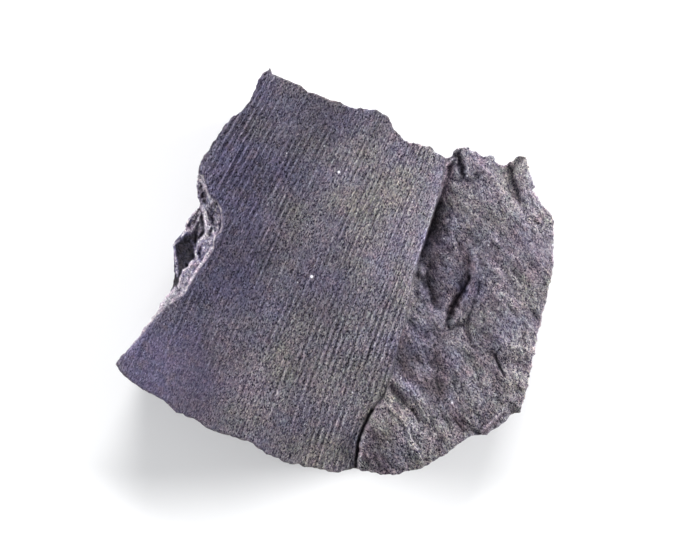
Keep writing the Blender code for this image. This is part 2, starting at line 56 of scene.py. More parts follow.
# Stem imprint, as in the solid
CROWN_HEIGHT = 16.8
ARCH_START = -20  # rib coordinate of the crown
ARCH_FALL = 0.003
ROLL_WIDTH = 3  # strip beside the scarp that rolls down
ROLL_DEPTH = 0.9
ROLL_FADE = (-9, 3)  # the roll grows between these Y
RIB_PITCH = 1.17
RIB_WIDENING = 0.005
RIB_LEAN = 0.414  # how far a rib moves right for each millimetre up
RIB_BEND = 0.0013
RIB_FAN = 0.0025
RIB_HEIGHT = 0.13  # half the height of a fresh rib over its groove

# Rim and sides, as in the solid
RIM_STEP = 1.35
RIM_JITTER = 0.22
SMOOTHING_REACH = 5
BEDS = (  # foot as a share of the rim's height, share of the way to the smooth ring, set-back, ledge
    (0.88, 0.25, 0.1, 0.9),
    (0.71, 0.55, 0.45, 2),
    (0.49, 0.75, 0.7, 2.4),
    (0.27, 0.9, 1, 2.2),
    (0.05, 1, 1.5, 1),
)
LEDGE_DROP = 0.035
BED_WOBBLE = 0.08
FACE_ROUGHNESS = 0.45

# Fine mesh: steps between its points
FINE_EDGE_STEP = 0.3
SAMPLES_PER_RIB = 7
FINE_ROW = 0.42
FINE_ROCK_STEP = 0.27
FINE_NOTCH_STEP = 0.18
UNDERSIDE_STEP = 2.2
SIDE_ROW = 0.5
EDGE_GAP = 0.16  # loose points keep this far from the lines that the mesh follows
RIM_FRAY = 0.16
CREST_FRAY = 0.1
NOTCH_FRAY = 0.2

# What the loose points cover
RIB_NUMBERS = (-46, 20)
STEM_ROWS = (-40, 40)
ROCK_SPAN = ((2, 43.5), (-40, 25.5))
NOTCH_SPAN = ((-43, -21), (-18, 20))
UNDERSIDE_SPAN = (-44, 44)

# Finer relief of the imprint
KNOBBLY_PATCH = (0, -18, 19)  # X, Y and radius of the patch where the ribs are knobbly
RIB_WANDER = 0.06  # how far a rib strays sideways, as a share of its width
KNOBBLY_WANDER = 0.05
FINE_WANDER = 0.03
CREST_SHARPNESS = 5
EVEN_WAVE = 0.8
UNEVENNESS = 1.2  # how much the ribs differ in height
BREAKS = 1.2  # how much a rib's height changes along it
FEWER_BREAKS = 0.5
SWELL_HEIGHT = 0.12
BAND_HEIGHT = 0.05
STREAK_HEIGHT = 0.085
STEM_FLAKES = ((0.02, 0.6, 3, 3), (0.018, 0.36, 1, 9))  # height, size across, along, seed
CRISP_PATCHES = (  # X, Y and radius of soft round patches, and how much crisper their ribs are
    (-20, 20, 20, 0.36), (-13, 23, 13, 0.2), (-17, 6, 10, 0.18), (-2, 24, 9, 0.15),
    (-24, 27, 9, 0.1), (-2, -18, 16, 0.36), (9, -12, 16, 0.5), (8, 6, 9, 0.2), (1, -32, 10, 0.45),
    (-7, 34, 11, -0.2), (-33, -22, 14, -0.2), (-18, -30, 10, -0.2),
)

# Finer relief of the broken rock
FLAKE_ANGLE = math.radians(-58)
LUMP_HEIGHT = 0.18
ROCK_STREAK_HEIGHT = 0.07
ROCK_FLAKES = (  # height, size along, across, seed
    (0.17, 5, 1.5, 21),
    (0.08, 2.6, 0.8, 27),
    (0.025, 1.2, 0.45, 33),
)
WARP = 0.45  # how far the solid's straight edges are bent in plan
SOFTENING = 0.16

# Edges, sides and underside
RIM_WEAR = 0.22
NOTCH_WEAR = 0.12
RIM_ROUGHNESS = 0.12
LAMINAE = ((1.3, 0.26, 1), (0.55, 0.12, 2))  # thickness, how far one stands out, layer
CHIP_SIZE = 0.16
SIDE_INSET = 0.12
HOLLOW_DEPTH = 0.5

# Outline and lines of the upper face, as in the solid: X, Y and, off the imprint, the height
STEM_TOP_EDGE = (
    (-12.8, 39.4), (-12.3, 38.2), (-10.2, 37.3), (-6.9, 36), (-5.4, 34.7), (-3.6, 34.3),
    (-1.3, 33.2), (0.9, 32.7), (3.5, 31.6), (7.6, 31.4), (9, 30.5), (10.6, 29), (11.1, 27.6),
    (13, 25.6), (15.8, 24.9), (18.1, 24.4), (19.8, 23), (21.2, 22.2),
)
MATRIX_KNOB_EDGE = (
    (22, 22.2, 11.3), (22.5, 22.6, 11.8), (22.8, 23.4, 12.3), (23.5, 24, 12.5), (24.8, 24.3, 12.4),
    (25.8, 24.3, 12.8), (26.2, 23.6, 13.1), (27.3, 23.4, 13.2), (27.9, 22.8, 13.1),
    (28.7, 22.4, 13), (29.8, 22.7, 13.2), (30.7, 22.5, 13.4), (30.8, 21.6, 13.2), (31.4, 21.1, 13),
    (32.6, 20.7, 12.7), (33.3, 20.9, 12.5), (33.6, 21.5, 12.9), (34.5, 21.6, 13.2),
    (35, 22.3, 13.8), (35.6, 22.6, 14.1), (36.8, 22.3, 14), (37.2, 21.1, 13.6), (37.7, 19.6, 12.9),
    (38.2, 17.9, 12.5), (38.7, 16.5, 12.2), (38.2, 16, 12.2), (38.9, 15.3, 12), (39.9, 13.6, 11.6),
    (41.8, 11.5, 11.2), (42.5, 10.1, 11.4),
)
MATRIX_RIGHT_EDGE = (
    (42.4, 4.7, 12), (42.1, 0.1, 12.4), (40.9, -5.5, 12.6), (40.2, -7.9, 12.6), (38.7, -14.7, 12.6),
    (37.6, -20.9, 12.4), (36.7, -24.7, 12.2), (35.9, -27.4, 11.6),
)
MATRIX_FOOT_EDGE = (
    (34.1, -27.9, 11), (32.2, -29.9, 11), (29.4, -31.8, 11.5), (26.3, -31.9, 13),
    (23.5, -33.6, 13.6), (21.7, -35.2, 13.9), (18.6, -37, 14), (16.1, -38.3, 14.2),
    (11.1, -39.4, 14), (5, -38.7, 13.6), (3.8, -38.3, 11.6),
)
STEM_FOOT_EDGE = (
    (3.3, -38.2), (0.1, -39), (-1.3, -38.8), (-5, -37.9), (-10.2, -36.8), (-13.6, -35.3),
    (-16.2, -33.1), (-18.2, -32.5), (-22.1, -31.2), (-25.1, -30.1), (-27.3, -28.4), (-31, -27.1),
    (-32.9, -25.1), (-35.1, -23.8), (-38.9, -21.6), (-41.8, -19.2), (-42.6, -17.8), (-42.2, -17.1),
)
NOTCH_EDGE = (
    (-38.1, -12.3, 14.8), (-34.8, -7.8, 13.8), (-34.2, -6, 13.3), (-33.5, -5.1, 12.9),
    (-32.8, -4.3, 12.4), (-32.2, -3.4, 11.6), (-31.9, -2.3, 10.8), (-31.7, -0.8, 10.3),
    (-31.8, 1.1, 10), (-31.8, 3.1, 9.9), (-32.1, 5.3, 9.8), (-31.2, 6.5, 10), (-30.2, 7.7, 10.4),
    (-29.4, 8.5, 10.8), (-29.6, 8.9, 11.2), (-29.1, 10, 11.4), (-28.3, 11.2, 11.6),
    (-27.4, 12.1, 11.9), (-26.6, 12.8, 12.4), (-26.5, 13.4, 13.2), (-27, 14.4, 13.2),
    (-27.1, 16.1, 13.8), (-27.1, 17.7, 14.8), (-26.7, 18.8, 16),
)
STEM_LEFT_EDGE = (
    (-26.6, 19.5), (-26.2, 21.2), (-24.7, 23.4), (-23, 26), (-21.7, 28.2), (-19.9, 30.1),
    (-18.4, 30.8), (-16.6, 33.2), (-15.6, 35.3), (-15.3, 36.8), (-14.3, 38.1),
)
SCARP_CREST = (
    (21.2, 22.2), (20.1, 15.9), (18.2, 9.7), (16.4, 4.3), (14.9, -0.6), (14.1, -5.5), (13.1, -10.3),
    (11.9, -14.2), (10.5, -20), (9.2, -23.9), (6.7, -27.1), (5.1, -29.9), (3.95, -32.7),
    (3.5, -36.2), (3.3, -38.2),
)
NOTCH_RIM = (
    (-42.2, -17.1), (-40.1, -15.2), (-37.6, -12.5), (-35.2, -9.3), (-33.7, -7.7), (-32.7, -6.7),
    (-31.5, -6), (-30.6, -5.4), (-29.4, -4.6), (-28.8, -3.7), (-28.6, -2.9), (-27.9, -2.1),
    (-27.1, -0.8), (-26.4, 0.3), (-25.5, 1.5), (-24.4, 2.9), (-23.8, 3.8), (-23.4, 4.7),
    (-23.4, 5.8), (-23.2, 6.6), (-22.1, 7.7), (-21.8, 8.5), (-21.8, 9.9), (-22, 11.2),
    (-22.2, 12.3), (-22.6, 13.4), (-23.3, 14.1), (-24.1, 14.6), (-24.5, 15.4), (-24.9, 16.5),
    (-25.1, 17.6), (-25.5, 18.6), (-26.6, 19.5),
)

# Cracks and ridges finer than the solid
MARKS = (  # height, width, line
    (-0.12, 0.8, ((19.7, 3.1), (18.4, 2.1), (18, 1), (17.7, -0.8), (18, -2.7), (18.5, -4.3))),
    (-0.6, 0.5, ((26.1, -0.8), (25.8, -2), (25.2, -3), (24.4, -4.1), (23.7, -5.3), (23.1, -6.5),
        (22.5, -7.9), (22, -9.1))),
    (-0.5, 0.4, ((22, -9.1), (21.6, -9.7), (21.9, -10.9))),
    (-0.18, 0.5, ((25.6, 4.3), (25.7, 2.7), (26.1, 1.1))),
    (-0.22, 0.6, ((28.1, -2.2), (27.7, -4.1), (26.9, -5.8), (26.4, -7.4), (25.8, -9),
        (25.6, -10.3), (25.7, -11.9), (26.1, -13.4), (27.1, -15.2))),
    (-0.25, 0.7, ((16.1, -13.4), (17, -12.4), (17.6, -11.7))),
    (-0.4, 0.4, ((18.2, -15.4), (19.1, -14.4))),
    (-0.4, 0.35, ((37.6, 10.8), (38.4, 10), (39, 9.4), (39.7, 9.1))),
    (-0.2, 0.5, ((33.7, 21.1), (34.3, 20), (34.7, 18.8))),
    (-0.3, 0.45, ((35.3, 15.9), (35.4, 14.7), (35.7, 13.4))),
    (0.16, 0.4, ((37, 19.4), (37.4, 17.3), (38, 15.1), (39, 13), (40.3, 11.2), (41.5, 9.7))),
    (-0.15, 0.35, ((36.6, 18.6), (37, 16.5), (37.6, 14.2), (38.8, 12), (40.5, 9.9))),
    (0.12, 0.4, ((36, 16.9), (36.8, 14), (38, 11.6), (39.7, 9.9), (41.3, 7.7))),
    (-0.1, 0.5, ((24.2, 23.7), (23.8, 22.5), (23.9, 21.5))),
    (-0.12, 0.6, ((10.6, -21.8), (11.2, -23.3), (12, -24.9), (12.5, -26.6))),
    (-0.4, 0.5, ((14.7, -26.6), (15.5, -27.8), (16, -29))),
    (-0.5, 0.5, ((31, -16.1), (31.3, -17.7), (32, -19), (32.7, -20.2))),
    (0.35, 0.4, ((32.3, -26.8), (30.2, -29.1), (28.3, -30.9))),
    (-0.3, 0.4, ((32.7, -27.6), (30.8, -29.5), (29, -31))),
    (0.25, 0.5, ((10, -25.8), (12.3, -28), (13.9, -30.9), (15.3, -34.2), (16.4, -36.3))),
    (-0.3, 0.4, ((14.3, -30.7), (14.9, -32.3), (16.2, -34))),
    (0.2, 0.5, ((14.3, -22), (15.8, -25.3), (17.8, -28.8), (19.3, -32.3))),
    (-0.2, 0.5, ((19.3, -19.5), (19.6, -21.9))),
    (-0.3, 0.4, ((23.3, -21.2), (23, -22.5))),
    (-0.25, 0.5, ((20.3, -24.9), (21.5, -26.8), (23.2, -29.1), (25, -31.1))),
    (0.2, 0.5, ((21.7, -24.5), (23, -26.4), (24.4, -28), (25.9, -29.1))),
    (-0.9, 0.45, ((6.9, -27), (6.3, -27.8), (5.8, -29), (5.4, -30.3), (4.9, -31.5),
        (4.5, -32.8), (4.2, -34.4), (4, -35.6), (3.7, -36.7))),
    (0.2, 0.4, ((7.1, -29.7), (7.7, -31.1), (8.7, -32.1), (10.2, -32.3))),
    (-0.2, 0.35, ((6.7, -13.2), (6.3, -15.6), (5.9, -16.5))),
    (-0.2, 0.35, ((6.5, -22.5), (6.3, -24.5), (6.1, -26.6))),
    (-0.18, 0.3, ((7.7, -21.2), (7.4, -22.7))),
    (-0.15, 0.3, ((19.5, 19.8), (18.8, 17.8), (17.8, 15.9), (17, 14))),
    (-0.15, 0.3, ((17, 23.7), (16.6, 21.3), (16, 19.4))),
    (-0.35, 0.25, ((-23.2, 13.3), (-22.7, 12.3), (-22.5, 11.2), (-22.4, 9.9), (-22.5, 8.5),
        (-22.8, 7.7))),
    (-0.35, 0.4, ((-24.3, 10.5), (-24, 9.9))),
    (-0.3, 0.35, ((-23.7, 8.5), (-23.4, 7.9))),
    (-0.45, 0.45, ((-24.3, 7.8), (-24.2, 7))),
    (-0.4, 0.45, ((-26.3, 4.8), (-26.5, 3.7), (-26.6, 2.5))),
    (-0.4, 0.35, ((-26, 1.9), (-26.4, 0.7))),
    (-0.35, 0.35, ((-29, 1.3), (-30, 0.3), (-30.6, -0.8), (-31, -2.2), (-31.3, -3.1))),
    (-0.3, 0.35, ((-28.3, 1), (-28.2, 0.4))),
    (-0.3, 0.35, ((-27.8, -0.7), (-27.6, -1))),
    (0.25, 0.3, ((-26.5, 12.7), (-27.5, 11.6), (-28.3, 10.7), (-28.9, 9.8), (-29.3, 9.1))),
    (0.25, 0.28, ((-26.5, 11.4), (-26.7, 10.3), (-27.4, 9.2), (-28, 8.3))),
    (-0.3, 0.35, ((-26.9, 9.5), (-27.3, 8.6), (-27.8, 7.7))),
    (-0.3, 0.35, ((-27.1, 10.9), (-27.4, 10.2), (-27.8, 9.6))),
    (0.2, 0.28, ((-26.4, 8.3), (-26.7, 7.4), (-27.1, 6.2))),
    (-0.3, 0.35, ((-27.2, 7.9), (-27.4, 6.8), (-27.5, 5.8))),
    (0.2, 0.28, ((-28.1, 6.6), (-27.7, 5))),
    (0.3, 0.35, ((-26.6, 17.2), (-26.3, 15.9), (-26.4, 14.7))),
    (-0.3, 0.4, ((-25.4, 16.1), (-25.2, 14.5), (-25.4, 13.4))),
    (0.2, 0.35, ((-25.3, 11.8), (-25, 10.3), (-24.5, 8.9))),
)

# How light and how violet the shale is from place to place, with painted light and shade among it
STEM_TONE = 0.86
STEM_PAINTED_LIGHT_STEPS = ((0.22, -16, -7), (0.25, 2, 15))  # painted light: the imprint lighter towards its right, where its arch turns to the side lights; added tone, from and to these rib coordinates
# Crests of the ribs lighter than the grooves: partly worn, dusty crests, partly painted light on the
# crests and painted shade in the grooves
CREST_WEAR_AND_PAINTED_LIGHT = 0.2
GROOVE_PAINTED_SHADE = 0.97
ROCK_TONE = 1.3
# The notch lighter: partly paler fresh breaks, partly painted light on its faces turned to the side
# lights
NOTCH_TONE = 2.3
# The low chunk of the notch darker: its own darker violet, and painted shade as on a face turned down
CHUNK_DARK_AND_SHADE = 0.91
CHUNK_HEIGHTS = (12.6, 11.6)  # the dark chunk lies below these heights
CHUNK_END = (8.2, 6.8)  # and below these Y
SIDE_TONE = 1.1
SIDE_WARMTH = 0.2
NOTCH_HIGHLIGHTS_AND_SHADE = (  # painted highlights on the edges of the notch's beds and painted shade in its hollows and drops: added tone, width, line
    (1.6, 0.45, ((-26.8, 18.3), (-25.5, 16.5), (-24.7, 14.8), (-24.3, 13.4))),
    (2, 0.45, ((-26.4, 12.8), (-25.7, 11.1), (-25.5, 9.1), (-25.4, 7.3), (-26.8, 6), (-27.4, 4.6),
        (-27.5, 2.8), (-28.7, 1.3), (-29.8, 0.4), (-30.4, -0.7), (-30.7, -2.1), (-31.6, -3.2))),
    (1.6, 0.35, ((-25.5, 10), (-24.5, 8.4), (-23.6, 7.3))),
    (1.8, 0.4, ((-23.4, 13.8), (-22.5, 12.5), (-22, 10.9), (-21.8, 8.9), (-22.3, 7.6), (-23.4, 6.2))),
    (1.6, 0.5, ((-23.4, 6.2), (-23.8, 4.6), (-25.4, 3.1), (-25.8, 2.2), (-26.9, 0.6), (-27.8, -1.2),
        (-28.7, -3), (-29.6, -4.3))),
    (1.4, 0.5, ((-31.5, -3.2), (-32.8, -4.5), (-33.9, -6.1), (-34.5, -7.5))),
    (2.6, 0.45, ((-29.6, 8), (-30.7, 6.4), (-31.9, 5.3))),
    (2.4, 0.5, ((-32, 5.1), (-31.6, 3.3), (-31.3, 1), (-31.2, -0.7))),
    (1, 0.3, ((-26.6, 12.8), (-28.1, 11.1), (-29.2, 9.3))),
    (0.9, 0.3, ((-28.5, 7.8), (-27.4, 8.9), (-26.5, 10.7))),
    (0.7, 0.3, ((-28.4, 6.2), (-27.8, 5.2), (-27.7, 3.9))),
    (-1.6, 1.2, ((-26.4, 16.5), (-26.1, 15.1), (-25.8, 13.8))),
    (-1.9, 0.8, ((-26.2, 10.9), (-25.9, 8.9), (-26.1, 7.6))),
    (-1.2, 0.7, ((-27.1, 9.7), (-27.5, 7.7), (-28, 6.6))),
    (-1.3, 0.8, ((-26.5, 5), (-26.7, 3.9), (-26.6, 2.9))),
    (-1.2, 0.5, ((-24.2, 12.6), (-24.2, 11.2), (-23.9, 10.1))),
    (-1.2, 0.4, ((-24.3, 8.2), (-24, 7))),
    (-1.4, 0.35, ((-23.1, 13.2), (-22.5, 11.6), (-22.3, 9.7), (-22.8, 7.9))),
    (-1, 0.5, ((-29.1, 11.6), (-28.4, 10.3), (-29, 8.9))),
    (-2, 0.5, ((-28.6, 1.7), (-29.8, 0.3), (-30.6, -1.2), (-31.3, -2.9))),
    (-1.3, 0.3, ((-24, 5.6), (-25.1, 3.9), (-26.5, 1.9), (-27.8, 0), (-29, -2.2))),
    (-1, 0.3, ((-29.6, -0.8), (-30.4, -3.3), (-31.9, -5.1))),
    (-0.9, 0.3, ((-25.1, 5.6), (-25.9, 3.5), (-27.7, 1.5))),
    (-0.9, 0.3, ((-24.9, 14.2), (-24.3, 12.4), (-24.7, 10.7))),
)
ROCK_STREAKS_AND_SHADE = (  # streaks of the broken rock, one of them painted shadow and one painted light: added tone, width, share of plum, line
    (-0.35, 3.2, 0.9, ((23, -3.9), (23, -7))),
    (-0.28, 2.6, 0.9, ((5.7, -29.7), (6.9, -31.9))),
    (-0.15, 3, 0.9, ((5.7, -34.2), (10, -37.3))),
    (-0.4, 1.6, 0.6, ((10.8, -22.2), (13.1, -24.9), (11.8, -26.6))),
    (-0.4, 3, 1, ((12.7, -13.6), (13.5, -19.4), (19.3, -22.5))),
    (-0.38, 2.6, 1, ((19.7, -15.6), (20.5, -24.5), (24.4, -29.7))),
    (-0.5, 2.2, 0.8, ((30.4, -16.6), (31.6, -22.8))),
    (-0.35, 1.8, 0.5, ((18.2, 1.1), (18, -2.5), (19.5, -6))),
    (-0.3, 2.2, 0.6, ((24.4, 4.8), (25.4, 1.9), (25.9, -2))),
    # painted shadow in the valley beside the scarp
    (-0.75, 4, 0.3, ((20.2, 12.5), (19.6, 8), (18.4, 4))),
    (0.45, 1.6, 0.6, ((21.9, 21.5), (22.2, 19))),
    (-0.22, 4, 0.4, ((38.8, 6), (38.6, 0))),
    (-0.2, 2, 0.7, ((21.5, 19.4), (20.7, 14))),
    (-0.3, 0.9, 0.4, ((28.3, 23.7), (27.9, 21.7), (28.5, 19.4))),
    (-0.25, 1.2, 0.9, ((31.8, -28.4), (28.7, -31.5))),
    (0.9, 0.35, 0, ((32.3, -26.8), (30.2, -29.1), (28.3, -30.9))),
    (0.4, 2, 0, ((20.8, 10.6), (25.9, 8.9), (33.3, 4.8), (35.2, 2.6))),
    (0.35, 0.8, 0, ((10, -25.8), (13.1, -30.7), (16.6, -36.5))),
    (0.35, 1.4, 0, ((23, -15.2), (25.9, -22), (27.9, -24.9))),
    (0.3, 0.7, 0, ((34.1, -19.4), (36.4, -24.5))),
    (0.4, 1.8, 0, ((11.4, -20), (14.3, -22.5), (18.2, -27.8))),
    # painted light, lifting the shadow along the crest above the crack
    (0.3, 0.8, 0, ((10.2, -21.2), (8.9, -24.4), (7.4, -26.6))),
)
STEM_PATCHES = (  # X, Y and radius of soft round patches, and their added tone
    (9, 15, 18, 0.55), (-24, 25, 9, 0.2), (-2, 30, 8, -0.1), (-36, -18, 10, 0.25),
    (-25, 3, 16, -0.2), (7, -22, 10, -0.2), (-15, -22, 9, 0.25), (-10, 12, 8, 0.3),
    (-21, 12, 7, 0.02), (7, 0, 7, 0.25), (-5, -4, 9, -0.16), (-16, 18, 6, -0.12),
    (-13, 33, 9, 0.12), (-6, -31, 10, -0.16), (-5, 14, 6, -0.15),
)
ROCK_PATCHES = (  # the same for the broken rock
    (26, 19, 10, 0.62), (26, 6, 9, 0.14), (17, -16, 4, -0.15), (37, 16, 9, 0.55),
    (37, -16, 8, 0.65), (20, -3, 7, -0.3), (14, -17, 5, -0.35), (19, -23, 5, -0.3),
    (8, -33, 6, -0.36), (25, -28, 5, -0.2), (13, -23, 4, -0.15), (14, -35, 4, 0.15),
    (41, 6, 8, 0.35), (33, -4, 8, 0.28), (21.5, -4, 4, 0.12), (22, 1, 4, -0.12),
    (26.5, -4.5, 4, -0.2), (26, 20, 5, 0.22),
)
VIOLET_PATCHES = (  # how much more violet the shale is there
    (-18, 17, 12, 0.7), (-14, 31, 9, 0.4), (-22, 4, 15, 0.9), (4, 18, 12, -0.4),
    (-34, -20, 16, 0.9), (-16, -10, 10, 0.4), (20, -2, 9, 0.7), (20, 9, 6, 0.2), (15, -18, 9, 0.45),
    (26, 7, 8, 0.3), (-30, 4, 6, 1.5), (-14, -15, 12, -0.6), (7, -26, 9, -0.5), (-11, 10, 7, -0.6),
    (11, 13, 9, -0.25), (1, -1, 12, 0.3), (21, -20, 12, 0.3), (19, 6, 4, 0.7), (26.5, -4.5, 4, 0.3),
    (14, -1, 4.5, -0.4),
)
PLUM_PATCHES = ((-24, -22, 16, 0.4), (-16, 26, 18, -0.4))  # more plum on the imprint
GRIT_PATCHES = ((-33, -20, 16, -0.42), (-2, -14, 24, 0.15))  # stronger grain on the imprint
WHITE_SPECKS = (  # X, Y, radius and whiteness
    (0.47, 19.3, 0.33, 1), (-4.75, -0.9, 0.36, 0.95), (25.5, 18.7, 0.2, 1), (3.1, -23.4, 0.16, 0.8),
    (-9.6, 22.9, 0.17, 0.6), (-2.3, 24.3, 0.22, 0.55), (21, 6.5, 0.18, 0.6), (-7.5, -2, 0.2, 0.4),
    (12.6, -20.7, 0.18, 0.5), (3.5, 21, 0.2, 0.4), (29.6, 5.2, 0.2, 0.5), (22.5, -25.4, 0.24, 0.5),
    (29.9, -29.4, 0.16, 0.6), (9.5, -10.4, 0.2, 0.4), (-5.6, 9.2, 0.17, 0.35),
    (6.8, -23.4, 0.17, 0.4), (17.1, -27.9, 0.24, 0.4), (9.9, -32.9, 0.16, 0.4),
)

# Colours of the shale before its tone, and of the floor
VIOLET = (0.079, 0.07, 0.122, 1)
OLIVE = (0.098, 0.09, 0.093, 1)
PLUM = (0.101, 0.078, 0.099, 1)
PALE = (0.099, 0.09, 0.101, 1)  # dust on fresh breaks, and the hue of the notch's painted highlights
WHITE = (0.8, 0.79, 0.85, 1)  # specks
FLOOR_COLOURS = ((0.92, 0.92, 0.925, 1), (0.95, 0.95, 0.95, 1))

# Grain of the shale: how many cells or waves of each noise go to a metre
FINE_CELLS = 6600
BROAD_CELLS = 3600
GRAIN_WAVES = 3300
BUMP_WAVES = 3200
GLOSS_WAVES = 900
RED_WAVES = 500
PLUM_WAVES = 420
GRAIN_STRETCH = 2
DARKEST_GRAIN = 0.03
RED_FALL = -0.05  # powers of the grain's light, painted hollow shade included: dark grains and shaded hollows are more violet than light ones
BLUE_FALL = -0.22
SPECULAR = 0.17
BROAD_BUMP = 0.00015
FINE_BUMP = 0.00012

# Light
SKY_COLOUR = (0.95, 0.97, 1, 1)
SKY_STRENGTH = 0.37
SUNS = (  # name, compass direction, elevation, strength, spread in degrees
    ("right_light", 12, 15, 6.25, 22),
    ("left_light", 165, 15, 4.05, 24),
    ("back_light", 80, 24, 3.15, 30),
)

# Floor, in metres
FLOOR_SIZE = 4
FLOOR_DROP = 0.0002

# Camera
IMAGE_SIZE = (680, 540)
PIXELS_PER_MM = 5.15
SLAB_CENTRE_PIXEL = (336.4, 271.9)  # where the slab's origin falls in the picture
SHARP_HEIGHT = 14  # the scale holds at this height
CAMERA_HEIGHT = 460
SENSOR = 36


# ---- plan geometry


def rib_coordinate(x, y):
    return (x - RIB_LEAN * y - RIB_BEND * y * y) / (1 - RIB_FAN * y)


def rib_x(coordinate, y):
    return coordinate * (1 - RIB_FAN * y) + RIB_LEAN * y + RIB_BEND * y * y


def rib_of_number(number):
    return RIB_PITCH / RIB_WIDENING * (1 - np.exp(-RIB_WIDENING * number))


def rib_number(coordinate):
    return -np.log(1 - coordinate * RIB_WIDENING / RIB_PITCH) / RIB_WIDENING


def is_inside(x, y, polygon):
    """Which of the places lie inside the polygon."""
    inside = np.zeros(len(x), bool)
    for (x0, y0), (x1, y1) in zip(polygon, polygon[1:] + polygon[:1]):
        if y0 == y1:
            continue
        inside ^= ((y0 > y) != (y1 > y)) & (x < x0 + (y - y0) * (x1 - x0) / (y1 - y0))
    return inside


def distance_to_line(x, y, line):
    """Shortest distance of each place to a chain of straight runs."""
    nearest = np.full(len(x), np.inf)
    for (x0, y0), (x1, y1) in zip(line, line[1:]):
        run_x, run_y = x1 - x0, y1 - y0
        along = ((x - x0) * run_x + (y - y0) * run_y) / (run_x**2 + run_y**2)
        along = np.clip(along, 0, 1)
        nearest = np.minimum(nearest, np.hypot(x - x0 - along * run_x, y - y0 - along * run_y))
    return nearest


def nearness(x, y, line, width):
    """1 on a line of this width, falling softly to 0 beside it."""
    return np.exp(-((distance_to_line(x, y, line) / (0.5 * width)) ** 2))


def with_shorter_runs(line, step):
    finer = []
    for start, end in zip(line, line[1:]):
        parts = max(1, round(math.dist(start[:2], end[:2]) / step))
        for part in range(parts):
            share = part / parts
            finer.append(tuple(a + (b - a) * share for a, b in zip(start, end)))
    finer.append(tuple(line[-1]))
    return finer


def noise_at(x, y, z, octaves=1, roughness=0.5):
    """Smooth noise between about -1 and 1 for arrays of places, each octave twice as fine."""
    values = np.zeros(len(x))
    size = 1
    for octave in range(octaves):
        step = 2.0**octave
        shift = 17.3 * octave
        values += size * np.array(
            [noise.noise(Vector((a * step + shift, b * step, c * step))) for a, b, c in zip(x, y, z)]
        )
        size *= roughness
    return values


def plan_noise(x, y, size_x, size_y, layer, octaves=1, roughness=0.5):
    """Noise in plan, with lumps of about these sizes in mm."""
    return noise_at(x / size_x, y / size_y, np.full(len(x), layer), octaves, roughness)


def hashed(i, j, seed):
    """A random share from 0 to 1 for each whole-numbered cell."""
    value = np.sin(i * 127.1 + j * 311.7 + seed * 74.7) * 43758.5453
    return value - np.floor(value)


def flakes(x, y, size_x, size_y, seed):
    """Relief of flat flakes that meet at sharp edges, between about -1 and 1."""
    u, v = x / size_x, y / size_y
    column, row = np.floor(u), np.floor(v)
    nearest = np.full(len(x), np.inf)
    tilted = np.zeros(len(x))
    for i in (-1, 0, 1):
        for j in (-1, 0, 1):
            a, b = column + i, row + j
            from_u = u - a - hashed(a, b, seed)
            from_v = v - b - hashed(a, b, seed + 1)
            distance = from_u**2 + from_v**2
            tilt_u = 2 * hashed(a, b, seed + 2) - 1
            tilt_v = 2 * hashed(a, b, seed + 3) - 1
            level = 2 * hashed(a, b, seed + 4) - 1
            plane = 0.6 * level + tilt_u * from_u + tilt_v * from_v
            tilted = np.where(distance < nearest, plane, tilted)
            nearest = np.minimum(nearest, distance)
    return tilted


def smooth_step(low, high, value):
    share = np.clip((value - low) / (high - low), 0, 1)
    return share * share * (3 - 2 * share)


# ---- heights


def stem_height(x, y):
    past_crown = np.maximum(0, rib_coordinate(x, y) - ARCH_START)
    near_scarp = np.maximum(0, 1 - distance_to_line(x, y, SCARP_CREST) / ROLL_WIDTH)
    gone, full = ROLL_FADE
    roll = ROLL_DEPTH * np.clip((y - gone) / (full - gone), 0, 1)
    return CROWN_HEIGHT - ARCH_FALL * past_crown**2 - roll * near_scarp**2


def blob(x, y, middle_x, middle_y, radius):
    """1 at the middle of a soft round patch and 0 beyond its radius."""
    away = np.hypot(x - middle_x, y - middle_y)
    return 1 - smooth_step(0.3 * radius, radius, away)


def patches_at(x, y, patches):
    """The sum of soft round patches, each X, Y, radius and strength."""
    return sum(strength * blob(x, y, *place) for *place, strength in patches)


def freshness(x, y):
    """How high the ribs are for their fresh height: least in worn patches."""
    value = 0.52 + 0.35 * noise_at(x * 0.09, y * 0.06, np.full(len(x), 3.7), 2)
    return np.clip(value + patches_at(x, y, CRISP_PATCHES), 0.15, 1.4)


def ribs(x, y):
    """The relief of the ribs in mm: thin crests, and even waves where they are knobbly."""
    knobbly = blob(x, y, *KNOBBLY_PATCH)
    number = rib_number(rib_coordinate(x, y))
    number = number + (RIB_WANDER + KNOBBLY_WANDER * knobbly) * plan_noise(x, y, 1.2, 3, 21)
    number = number + FINE_WANDER * plan_noise(x, y, 0.7, 1.6, 4)
    wave = np.cos(2 * np.pi * number)
    thin_crest = 1.9 * ((1 + wave) / 2) ** CREST_SHARPNESS - 0.45
    profile = thin_crest * (1 - knobbly) + EVEN_WAVE * wave * knobbly
    whole = np.round(number)
    of_rib = 1 + UNEVENNESS * noise_at(whole * 3.7, y / 9, whole * 0 + 33)
    breaks = BREAKS - FEWER_BREAKS * knobbly
    along_rib = 1 + breaks * noise_at(whole * 5.3, y / 3, whole * 0 + 9, 2)
    height = RIB_HEIGHT * freshness(x, y)
    return profile * height * np.clip(of_rib, 0.45, 1.4) * np.clip(along_rib, 0.3, 1.5)


def flaked(u, v, layers):
    """The relief of several layers of flakes: height, sizes along u and v, and seed of each."""
    return sum(height * flakes(u, v, *sizes_and_seed) for height, *sizes_and_seed in layers)


